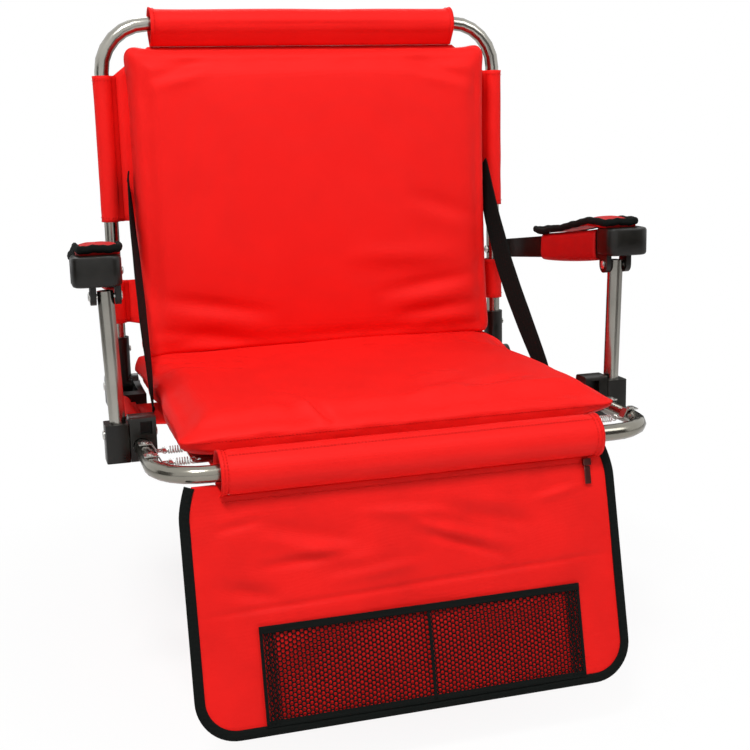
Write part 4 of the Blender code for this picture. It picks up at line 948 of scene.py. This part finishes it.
def top_sleeve():
    """The roll over the top bar: full above, drawn to a sewn tail below, flared at its ends."""
    low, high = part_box("top_sleeve")

    def line(x, share, grow):
        radius = TOP_ROLL_R + grow
        flare = 0.0022 * (math.exp(-(share / 0.012) ** 2) + math.exp(-((1 - share) / 0.012) ** 2))
        points = []
        for number in range(41):
            angle = math.radians(-40 + 260 * number / 40)
            soft = 0.0007 * float(ripple(x * 26, angle * 1.3, 11))
            sag = 0.0012 * math.sin(math.pi * share) * (math.sin(angle) < 0)
            size = radius + flare + soft - sag
            points.append((size * math.cos(angle), BACK_TOP_Z + size * math.sin(angle)))
        tail = 0.0040 + grow
        for step in range(1, 6):
            part = step / 6
            points.append((
                points[40][0] * (1 - part) + -tail * part,
                points[40][1] * (1 - part) + TOP_TAIL_Z * part,
            ))
        points.append((-tail, TOP_TAIL_Z))
        points.append((tail, TOP_TAIL_Z))
        for step in range(1, 6):
            part = step / 6
            points.append((tail * (1 - part) + points[0][0] * part,
                           TOP_TAIL_Z * (1 - part) + points[0][1] * part))
        return points

    hems = [(low.x + 0.0045, line(low.x + 0.0045, 0.02, 0.0006)[:41], (0, BACK_TOP_Z)),
            (high.x - 0.0045, line(high.x - 0.0045, 0.98, 0.0006)[:41], (0, BACK_TOP_Z))]
    xs = np.linspace(low.x + 0.003, high.x - 0.003, 120)
    seams = [([(x, side * 0.0044, BACK_TOP_Z - 0.0215) for x in xs], (0, side, 0)) for side in (-1, 1)]
    obj, sewn = roll("top_sleeve_cloth", "top_sleeve", "back", line, low.x, high.x, 90, hems, seams)


def front_sleeve():
    """The fat roll over the front bar, with doubled hems at its ends and a seam along the top."""
    low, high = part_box("front_sleeve")

    def line(x, share, grow):
        points = []
        for number in range(56):
            angle = 2 * math.pi * number / 56
            soft = 0.0003 * float(ripple(x * 30, angle * 2.0, 13))
            flare = 0.0010 * (math.exp(-(share / 0.010) ** 2) + math.exp(-((1 - share) / 0.010) ** 2))
            sewn = [math.exp(-((share - place_) / 0.004) ** 2) for place_ in (0.018, 0.982)]
            hem = -0.0009 * sum(sewn)
            flat = 0.0008 * math.exp(-((angle - 2.2) / 0.35) ** 2)
            size = FRONT_ROLL_R + grow + soft + flare + hem - flat
            points.append((FRONT_BAR_Y + size * math.cos(angle), RAIL_Z + size * math.sin(angle)))
        return points

    hems = []
    for x, share in ((low.x + 0.0035, 0.01), (low.x + 0.0066, 0.018), (high.x - 0.0035, 0.99),
                     (high.x - 0.0066, 0.982)):
        hems.append((x, line(x, share, 0.0004), (FRONT_BAR_Y, RAIL_Z)))
    xs = np.linspace(low.x + 0.008, high.x - 0.008, 130)
    angle = math.radians(118)
    seams = [([(x, FRONT_BAR_Y + 0.0203 * math.cos(angle), RAIL_Z + 0.0203 * math.sin(angle)) for x in xs],
              (0, math.cos(angle), math.sin(angle)))]
    obj, sewn = roll("front_sleeve_cloth", "front_sleeve", "seat", line, low.x, high.x, 100,
                     hems, seams)


# Straps and tapes

def ribbon(name, centres, across, out, width, thickness, finish):
    """A woven strap along a line of centres, with a bound edge on each side."""
    centres = np.asarray(centres)
    shares = np.array([-1, -0.94, -0.82, -0.4, 0, 0.4, 0.82, 0.94, 1.0])
    rise = np.array([0.35, 0.9, 1.12, 1.0, 1.0, 1.0, 1.12, 0.9, 0.35])
    top = centres[:, None, :] + shares[None, :, None] * across[:, None, :] * width / 2
    lift = out[:, None, :] * (rise[None, :, None] * thickness / 2)
    return shell(name, top + lift, top - lift, finish)


def back_strap(label, side):
    """The strap that stops the back: from the upper sleeve down to the rail, turned in its middle."""
    head, inboard, drop, twist = {
        "left": (0.0085, 0.0150, 0.0048, 24), "right": (0.0065, 0.0, 0.0, 28)}[label]
    upper = np.array([side * (BACK_X - SLEEVE_OUT - GAP - STRAP_THICKNESS / 2 - head), -0.0148, 0.262])
    lower = np.array([side * (RAIL_X - SLEEVE_OUT - inboard), -0.160, RAIL_Z + 0.011 - drop])
    along = (lower - upper) / np.linalg.norm(lower - upper)
    flat = np.array([0, -along[2], along[1]])
    flat = flat / np.linalg.norm(flat)
    outward = np.array([side, 0.0, 0.0])
    centres, across, out = [], [], []
    for share in np.linspace(0, 1, 90):
        bow = 0.020 * math.sin(math.pi * share ** 0.8)
        turn = math.radians(twist) * max(0.0, math.sin(math.pi * share)) ** 0.5
        hug = 0.1 * inboard * math.sin(math.pi * share)
        soft = 0.0006 * float(ripple(share * 16, 0.0, 4 + (side > 0)))
        centres.append(upper + (lower - upper) * share + flat * bow - outward * (hug + soft))
        across.append(flat * math.cos(turn) - outward * math.sin(turn))
        out.append(outward * math.cos(turn) + flat * math.sin(turn))
    obj = ribbon("back_strap_" + label + "_webbing", centres, np.array(across), np.array(out),
                 STRAP_WIDTH, STRAP_THICKNESS, black_webbing)
    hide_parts("back_strap_" + label)
    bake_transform(obj)


def corner_webbing(label):
    """The black tape sewn along a front corner of the sling."""
    low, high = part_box("corner_webbing_" + label)
    xs = np.linspace(low.x, high.x, 14)
    ys = np.linspace(low.y, high.y, 10)
    middle = (low.z + high.z) / 2
    grid = np.array([[(x, y, middle + 0.00012 * math.sin(x * 2600)) for y in ys] for x in xs])
    obj = thick_sheet("corner_webbing_" + label + "_tape", grid, 0.0015, black_webbing)
    settle(obj, "seat", "black_webbing", "corner_webbing_" + label)


# Arms

def arm_line(y):
    """The bar's bottom, top and inner distance from the middle at a place along it."""
    share = y / CAP_REAR
    return 0.1449 + 0.0225 * share, 0.1669 + 0.028 * share, 0.2449 + 0.008 * share


def pad_base(along):
    """Height of a pad's underside: over the cover first, then over the cap."""
    y = PAD_REAR_Y + (PAD_FRONT_Y - PAD_REAR_Y) * along
    over_cover = arm_line(min(y, COVER_REAR_Y))[1] + 0.0026 + 3 * GAP
    over_cap = 0.1718 + 0.0288 + GAP
    share = min(1.0, max(0.0, (COVER_REAR_Y - y) / (COVER_REAR_Y - CAP_REAR - 0.012)))
    lift = max(0.0, over_cap - over_cover)
    return over_cover + lift * share ** 2 if y > CAP_REAR + 0.006 else over_cap


def arm_cover(label, side):
    """The padded wrap round an arm bar, slack and bulged along its lower edge."""
    rows, count = 30, 44
    outer, inner = [], []
    for row in range(rows + 1):
        share = row / rows
        y = COVER_REAR_Y + (CAP_REAR + 0.0006 - COVER_REAR_Y) * share
        bottom, top, near = arm_line(y)
        cu, cz = near + 0.005, (bottom + top) / 2
        half_u, half_z = 0.005, (top - bottom) / 2
        fullness = math.sin(math.pi * min(1, max(0, share))) ** 0.6
        loop_out, loop_in = [], []
        for number in range(count):
            a = 2 * math.pi * number / count
            c, s = math.cos(a), math.sin(a)
            ex = math.copysign(abs(c) ** 0.55, c)
            ez = math.copysign(abs(s) ** 0.55, s)
            grow = GAP + 0.0024
            sag = 0.0018 * fullness * (s < -0.2)
            side_puff = 0.0011 * fullness * abs(c)
            soft = 0.0004 * float(ripple(y * 70, a * 1.6, 5 + (side > 0)))
            u = cu + ex * (half_u + grow + side_puff + soft)
            z = cz + ez * (half_z + grow) - sag + (soft if s > 0 else 0)
            z = min(z, pad_base(min(1, max(0, (PAD_REAR_Y - y) / (PAD_REAR_Y - PAD_FRONT_Y)))) - 0.0002)
            loop_out.append((side * u, y, z))
            loop_in.append((side * (cu + ex * (half_u + GAP)), y, cz + ez * (half_z + GAP)))
        outer.append(loop_out)
        inner.append(loop_in)
    obj = shell("arm_cover_" + label + "_wrap", np.array(outer), np.array(inner), cover_red_painted_shade, wrap=True)
    settle(obj, "arm_" + label + "_body", "red_cloth", "arm_cover_" + label)


def arm_pad(label, side):
    """The soft pad on an arm: a low red crown inside a thick black bound lip that stands up at the front."""
    columns, rows = 25, 61
    top = np.zeros((rows, columns, 3))
    under = np.zeros((rows, columns, 3))
    lift = []
    for row in range(rows):
        along = row / (rows - 1)
        y = PAD_REAR_Y + (PAD_FRONT_Y - PAD_REAR_Y) * along
        middle = 0.2672 + 0.002 * along
        base = pad_base(along)
        corner = 1 - 0.16 * abs(2 * along - 1) ** 9
        stand = 0.0030 * float(smoothstep(0.60, 0.80, along))
        lift.append(stand)
        for column in range(columns):
            across = 2 * column / (columns - 1) - 1
            puff = (1 - abs(across) ** 3.0) * (1 - abs(2 * along - 1) ** 7)
            soft = 0.0005 * float(ripple(across * 4, along * 16, 3 + (side > 0)))
            x = side * (middle + across * 0.0205 * corner)
            bulge = 0.0016 * math.exp(-((along - 0.84) / 0.08) ** 2)
            thick = 0.0030 + stand + (0.0024 + bulge + soft) * puff
            under[row, column] = (x, y, base)
            top[row, column] = (x, y, base + thick)
    obj = shell("arm_pad_" + label + "_cushion", top, under, cover_red_painted_shade)
    settle(obj, "arm_" + label + "_body", "red_cloth", "arm_pad_" + label)
    order = [(row, 0) for row in range(rows)] + [(rows - 1, column) for column in range(1, columns)]
    order += [(row, columns - 1) for row in range(rows - 2, -1, -1)]
    order += [(0, column) for column in range(columns - 2, 0, -1)]
    centre = np.array([under[row, column] for row, column in order])
    for number, (row, column) in enumerate(order):
        wave = 0.0005 * math.sin(number * 0.37 + side) + 0.0003 * math.sin(number * 0.93)
        centre[number, 2] += 0.0023 + lift[row] * 1.1 + wave
    tape = closed_band("arm_pad_" + label + "_binding", centre, 0.0060, 0.0078, black_tape)
    settle(tape, "arm_" + label + "_body", "black_webbing")


def closed_band(name, path, width, height, finish, sides=10):
    """A bound edge: an oval section carried round a closed line of points."""
    path = np.asarray(path, float)
    along = np.roll(path, -1, axis=0) - np.roll(path, 1, axis=0)
    along = along / np.maximum(np.linalg.norm(along, axis=1, keepdims=True), 1e-9)
    up = np.tile([0.0, 0.0, 1.0], (len(path), 1))
    out = np.cross(along, up)
    out = out / np.maximum(np.linalg.norm(out, axis=1, keepdims=True), 1e-9)
    points = []
    for place_, o, u in zip(path, out, up):
        for number in range(sides):
            a = 2 * math.pi * number / sides
            points.append(place_ + o * math.cos(a) * width / 2 + u * math.sin(a) * height / 2)
    return make_object(name, points, ring_faces(len(path), sides, closed=True), [finish])


# Flap and pocket

def flap_place(across, down, out):
    """A point on the hanging flap, from its middle, the front bar's axis and its cloth."""
    across, down, out = np.asarray(across, float), np.asarray(down, float), np.asarray(out, float)
    x = FLAP_X + across
    y = FRONT_BAR_Y - down * math.sin(FLAP_TILT) - out * math.cos(FLAP_TILT)
    z = RAIL_Z - down * math.cos(FLAP_TILT) + out * math.sin(FLAP_TILT)
    return np.stack(np.broadcast_arrays(x, y, z), axis=-1)


def flap_wave(across, down):
    """The hanging cloth's folds: slack diagonals above the pocket, and nearly none at its sewn rim."""
    share = across / (FLAP_WIDTH / 2)
    start = FLAP_TOP + 0.014
    run = (down - start) / (FLAP_LENGTH - start)
    rim = (1 - np.abs(share) ** 6) * np.sin(math.pi * np.clip(run, 0, 1))
    diagonal = np.cos(math.pi * (2.1 * share + 2.4 * run - 0.4))
    broad = 0.0052 * rim * (0.25 + 0.75 * diagonal) * np.clip(1 - 1.25 * run, 0, 1)
    folds = crease(across, down, (-0.150, 0.060), (-0.030, 0.095), 0.0075, 0.0038)
    folds = creased(folds, across, down, (
        ((0.020, 0.052), (0.130, 0.080), 0.0085, -0.0034),
        ((-0.060, 0.045), (0.060, 0.062), 0.0060, 0.0026),
        ((-0.190, 0.100), (-0.120, 0.118), 0.0070, -0.0030),
        ((-0.185, 0.052), (-0.130, 0.044), 0.0042, -0.0026),
        ((-0.150, 0.088), (-0.040, 0.084), 0.0044, -0.0026),
        ((-0.010, 0.058), (0.110, 0.098), 0.0046, 0.0028),
        ((0.000, 0.070), (0.100, 0.108), 0.0040, -0.0026),
        ((0.120, 0.058), (0.180, 0.046), 0.0045, 0.0022),
        ((-0.090, 0.108), (0.020, 0.100), 0.0048, 0.0020),
    ))
    line = -0.0020 * np.exp(-((down - 0.120 + 0.006 * share) / 0.0022) ** 2) * (1 - np.abs(share) ** 8)
    fine = 0.0003 * ripple(across * 60, down * 60, 9)
    open_ = np.clip(run / 0.08, 0, 1)
    return broad + (folds + line + fine) * (1 - np.abs(share) ** 8) * open_


def flap_rim(down):
    """How much the flap's sides draw in near its top."""
    return 0.0070 * np.clip(1 - (np.asarray(down, float) - 0.0095) / 0.030, 0, 1) ** 1.6


def flap_head(x):
    """Where the cloth starts below the bar's axis: at the roll, or close under the bare bar beside it."""
    beside = max(float(smoothstep(-0.186, -0.193, x)), float(smoothstep(0.174, 0.180, x)))
    return 0.0199 * (1 - beside) + FLAP_START * beside


def front_flap():
    """The hanging cloth panel, with its folds."""
    inset = BINDING_WIDTH / 2
    radius = FLAP_CORNER_R - inset
    straight = FLAP_LENGTH - inset - radius
    start = FLAP_START
    downs, halves = [], []
    for down in np.linspace(start, straight, 84):
        downs.append(float(down))
        halves.append(FLAP_WIDTH / 2 - inset - float(flap_rim(down)))
    for turn in np.linspace(0, math.pi / 2, 15)[1:]:
        downs.append(straight + radius * math.sin(turn))
        halves.append(FLAP_WIDTH / 2 - inset - radius * (1 - math.cos(turn)))
    columns = 161
    share = np.linspace(-1, 1, columns)[None, :]
    across = np.array(halves)[:, None] * share
    down = np.repeat(np.array(downs)[:, None], columns, axis=1)
    heads = np.array([[flap_head(FLAP_X + x) for x in row] for row in across])
    span = 0.045
    near = np.clip((down - start) / span, 0, 1)
    down = np.where(down < start + span, heads + near * (start + span - heads), down)
    wave = flap_wave(across, np.maximum(down, FLAP_TOP))
    front = flap_place(across, down, wave + 0.0009)
    behind = flap_place(across, down, wave - 0.0009)
    obj = shell("front_flap_cloth", front, behind, flap_red_painted_shade)
    settle(obj, "flap", "red_cloth", "front_flap")
    runs = []
    xs = np.linspace(-0.172, 0.19, 130)
    runs.append((flap_place(xs, np.full_like(xs, FLAP_TOP + 0.005), 0.0011), flap_out()))
    sewn = stitches("front_flap_stitches", runs, "flap")


def flap_out():
    """The way the hanging flap faces."""
    return (0, -math.cos(FLAP_TILT), math.sin(FLAP_TILT))


def flap_edge(inset, steps=14):
    """The flap's outline inset from its cut edge, from the top left round to the top right."""
    half = FLAP_WIDTH / 2 - inset
    radius = FLAP_CORNER_R - inset
    bottom = FLAP_LENGTH - inset
    downs = np.linspace(FLAP_START, bottom - radius, 44)[:-1]
    points = [(-half + float(flap_rim(down)), down) for down in downs]
    for turn in np.linspace(math.pi, math.pi / 2, steps):
        points.append((-half + radius + radius * math.cos(turn), bottom - radius + radius * math.sin(turn)))
    floor_line = [(x, bottom) for x in np.linspace(-half + radius, half - radius, 50)[1:-1]]
    mirrored = [(-across, down) for across, down in reversed(points)]
    return points + floor_line + mirrored


def flap_binding():
    """The black tape folded over the flap's edge, with a rounded rim."""
    path = np.array(flap_edge(0.0015))
    along = np.gradient(path, axis=0)
    along = along / np.linalg.norm(along, axis=1, keepdims=True)
    outward = np.stack([-along[:, 1], along[:, 0]], axis=1)
    middle = np.array([0.0, FLAP_LENGTH / 2])
    outward = outward * np.sign(((path - middle) * outward).sum(axis=1))[:, None]
    section = [(-0.0058, 0.0), (-0.0056, 0.0019), (-0.0030, 0.0024), (0.0, 0.0026), (0.0022, 0.0021),
               (0.0035, 0.0009), (0.0035, -0.0009), (0.0022, -0.0021), (0.0, -0.0026), (-0.0030, -0.0024),
               (-0.0056, -0.0019)]
    rings = []
    for number, (place_, out) in enumerate(zip(path, outward)):
        soft = 1 + 0.08 * math.sin(number * 1.9) * math.sin(number * 0.7)
        ring = [flap_place(place_[0] + out[0] * a, place_[1] + out[1] * a, b * soft) for a, b in section]
        rings.append(ring)
    count, rows = len(section), len(rings)
    points = np.array(rings).reshape(-1, 3)
    faces = ring_faces(rows, count)
    faces.append(tuple(range(count)))
    faces.append(tuple(range((rows - 1) * count, rows * count)))
    obj = make_object("flap_binding_tape", points, faces, [black_tape])
    settle(obj, "flap", "black_webbing", "flap_binding")


def net_out(across, down, top, bottom):
    """How far the pocket stands off the flap."""
    half = NET_WIDTH / 2
    share_u = np.clip(1 - (across / half) ** 4, 0, 1)
    share_v = np.sin(np.clip((down - top) / (bottom - top), 0, 1) * math.pi * 0.75 + 0.4)
    base = FLAP_THICKNESS / 2 + GAP + 0.0006
    slack = 0.0004 * ripple(across * 45, down * 45, 6) * share_u
    return base + 0.0016 * share_u * np.clip(share_v, 0, 1) + slack


def pocket_net():
    """The open pocket: hexagonal netting with a border, a divider and a heavy tape along its mouth."""
    bottom = FLAP_LENGTH - BINDING_WIDTH / 2 - GAP - 0.003
    top = bottom - NET_HEIGHT
    half = NET_WIDTH / 2
    points, faces = [], []
    column_pitch, row_pitch = 0.00365, 0.0045
    corner_index = {}

    def corner(u, v):
        key = (round(u * 1e6), round(v * 1e6))
        if key not in corner_index:
            corner_index[key] = len(points)
            points.append((u, v))
        return corner_index[key]

    wide = column_pitch / 1.5
    shape = [(wide, 0), (wide * 0.75, row_pitch / 4), (wide / 2, row_pitch / 2), (0, row_pitch / 2),
             (-wide / 2, row_pitch / 2), (-wide * 0.75, row_pitch / 4), (-wide, 0),
             (-wide * 0.75, -row_pitch / 4), (-wide / 2, -row_pitch / 2), (0, -row_pitch / 2),
             (wide / 2, -row_pitch / 2), (wide * 0.75, -row_pitch / 4)]
    angles = [math.atan2(v / row_pitch, u / column_pitch / 0.9) for u, v in shape]
    columns_count = int(NET_WIDTH / column_pitch) - 1
    rows_count = int(NET_HEIGHT / row_pitch)
    for column in range(columns_count + 1):
        for row in range(rows_count + 1):
            cu = -half + column_pitch * (column + 0.5)
            cv = top + row_pitch * (row + 0.5 * (column % 2)) + 0.002
            if cu > half - wide or cu < -half + wide or cv > bottom - row_pitch * 0.4:
                continue
            ring_out = [corner(cu + u, cv + v) for u, v in shape]
            ring_in = []
            for angle in angles:
                ring_in.append(len(points))
                points.append((cu + 0.00160 * math.cos(angle), cv + 0.00175 * math.sin(angle)))
            for number in range(12):
                nxt = (number + 1) % 12
                faces.append((ring_out[number], ring_out[nxt], ring_in[nxt], ring_in[number]))
    flat = np.array(points)
    out = net_out(flat[:, 0], flat[:, 1], top, bottom)
    placed = flap_place(NET_X + flat[:, 0], flat[:, 1], out + 0.0004)
    obj = make_object("pocket_net_mesh", placed, faces, [black_net])
    thicken = obj.modifiers.new("thread", "SOLIDIFY")
    thicken.thickness = 0.0004
    thicken.offset = 0.0
    applied(obj)
    for polygon in obj.data.polygons:
        polygon.use_smooth = False
    settle(obj, "flap", "black_net", "pocket_net")

    def strip_grid(name, us, vs, thickness, lift, width, along_u):
        """A tape along a line of the pocket, this far off its net."""
        line = []
        for u, v in zip(us, vs):
            out = float(net_out(np.array(u), np.array(v), top, bottom)) + lift
            line.append(flap_place(NET_X + u, v, out))
        line = np.array(line)
        out_ = np.tile(np.array(flap_out()), (len(line), 1))
        side = np.tile(np.array([0.0, -math.sin(FLAP_TILT), -math.cos(FLAP_TILT)]) if along_u
                       else np.array([1.0, 0.0, 0.0]), (len(line), 1))
        tape = ribbon(name, line, side, out_, width, thickness, black_tape)
        settle(tape, "flap", "black_webbing")

    xs = np.linspace(-half, half, 90)
    strip_grid("pocket_mouth_tape", xs, np.full_like(xs, top + 0.002), 0.0019, 0.0010, 0.0068, True)
    strip_grid("pocket_foot_tape", xs, np.full_like(xs, bottom - 0.0008), 0.0012, 0.0004, 0.0056, True)
    vs = np.linspace(top, bottom, 40)
    for name, place_, thickness, lift in (
        ("pocket_divider", 0.003, 0.0012, 0.0008), ("pocket_side_left", -half + 0.0014, 0.0013, 0.0006),
        ("pocket_side_right", half - 0.0014, 0.0013, 0.0006),
    ):
        strip_grid(name, np.full_like(vs, place_), vs, thickness, lift, 0.0030, False)
    for edge, name in ((-1, "left"), (1, "right")):
        for number in (1, 2, 3):
            place_ = edge * (half - 0.0037 * number - 0.0012)
            lean = 0.0009 * np.sin(vs * 900 + number)
            label = "pocket_hem_" + name + "_" + str(number)
            strip_grid(label, place_ + lean, vs, 0.0008, 0.0009, 0.0013, False)


# Floor, lights and camera

def stage_plane(name, size, place_, turn, finish, seen=True):
    """A flat square of the stage."""
    half = size / 2
    obj = make_object(name, [(-half, -half, 0), (half, -half, 0), (half, half, 0), (-half, half, 0)],
                      [(0, 1, 2, 3)], [finish], smooth=False)
    obj.location = place_
    obj.rotation_euler = turn
    obj.visible_camera = seen
    return obj


def world():
    """White to the camera and in reflections, and a soft pale light on the object."""
    scene = bpy.context.scene
    scene.world = bpy.data.worlds.new("studio")
    scene.world.use_nodes = True
    tree = scene.world.node_tree
    tree.nodes.clear()
    rays = tree.nodes.new("ShaderNodeLightPath").outputs
    seen = math_node(tree, "MAXIMUM", rays["Is Camera Ray"], rays["Is Glossy Ray"])
    seen = math_node(tree, "MAXIMUM", seen, rays["Is Transmission Ray"])
    strength = add_node(tree, "ShaderNodeMapRange", None, {"To Min": 0.27, "To Max": 1.0, "Value": seen})
    background = add_node(tree, "ShaderNodeBackground", None, {
        "Color": (1, 1, 1, 1), "Strength": strength.outputs["Result"]})
    output = tree.nodes.new("ShaderNodeOutputWorld")
    tree.links.new(background.outputs["Background"], output.inputs["Surface"])


def area_light(name, place_, target, size, power):
    """A round soft lamp that faces its target."""
    data = bpy.data.lights.new(name, "AREA")
    data.shape = "DISK"
    data.size = size
    data.energy = power
    obj = bpy.data.objects.new(name, data)
    bpy.context.scene.collection.objects.link(obj)
    obj.location = place_
    obj.rotation_euler = (Vector(target) - Vector(place_)).to_track_quat("-Z", "Y").to_euler()


def camera():
    """The photograph's view, with its slight roll and its lens."""
    place_ = Vector((-0.36188, -1.46203, 0.32206))
    target = Vector((0.01515, -0.1973, 0.05356))
    forward = (target - place_).normalized()
    right = forward.cross(Vector((0, 0, 1))).normalized()
    up = right.cross(forward)
    roll_ = math.radians(1.4)
    screen_right = right * math.cos(roll_) - up * math.sin(roll_)
    screen_up = right * math.sin(roll_) + up * math.cos(roll_)
    data = bpy.data.cameras.new("photo_view")
    data.lens = 60.41
    data.sensor_width = 36
    data.shift_x = 0.00173
    data.shift_y = -0.0044
    data.clip_start = 0.01
    data.clip_end = 60
    obj = bpy.data.objects.new("photo_view", data)
    bpy.context.scene.collection.objects.link(obj)
    turn = np.array([screen_right, screen_up, -forward]).T
    obj.matrix_world = Matrix([[*row, along] for row, along in zip(turn, place_)] + [[0, 0, 0, 1]])
    bpy.context.scene.camera = obj


camera()
world()
area_light("key", (-0.8, -1.6, 2.5), (0, -0.2, 0.1), 0.70, 64)
area_light("fill", (1.6, -1.7, 1.8), (0, -0.2, 0.1), 1.2, 14)
area_light("rim", (0.3, 1.8, 1.6), (0, 0, 0.2), 1.2, 12)
stage_plane("pale_floor", 14.0, (0, 0, -0.262), (0, 0, 0), lit_floor())
dark_card = start_finish("dark_card", (0.015, 0.015, 0.014), 0.9)[0]
grey_card = start_finish("grey_card", (0.16, 0.155, 0.15), 0.9)[0]
for name, turn, far, finish in (
    ("card_left", -62, 1.9, grey_card), ("card_right", 48, 1.9, grey_card),
    ("card_back_left", -158, 1.7, dark_card), ("card_back_right", 158, 1.7, dark_card),
):
    angle = math.radians(turn - 16.6)
    place_ = (far * math.sin(angle), -far * math.cos(angle), 0.25)
    card = stage_plane(name, 1.15, place_, (math.radians(90), 0, angle), finish, seen=False)
    card.visible_diffuse = False
    card.visible_shadow = False
    card.visible_transmission = False

finish_hard_parts()
back_cushion()
seat_cushion()
back_sling()
seat_sling()
top_sleeve()
front_sleeve()
for label, side in (("left", -1), ("right", 1)):
    tube_wrap("upper_sleeve_" + label + "_cloth", "upper_sleeve_" + label, "back", side,
              (side * BACK_X, 0.0), "Z", *UPPER_SLEEVE_Z, 3 + side)
    tube_wrap("lower_tab_" + label + "_cloth", "lower_tab_" + label, "back", side,
              (side * BACK_X, 0.0), "Z", *LOWER_TAB_Z, 7 + side)
    tube_wrap("seat_band_" + label + "_cloth", "seat_band_" + label, "seat", side,
              (side * RAIL_X, RAIL_Z), "Y", *SEAT_BAND_Y, 10 + side)
    back_strap(label, side)
    corner_webbing(label)
    arm_cover(label, side)
    arm_pad(label, side)
front_flap()
flap_binding()
pocket_net()

bpy.context.scene.view_settings.view_transform = "Standard"
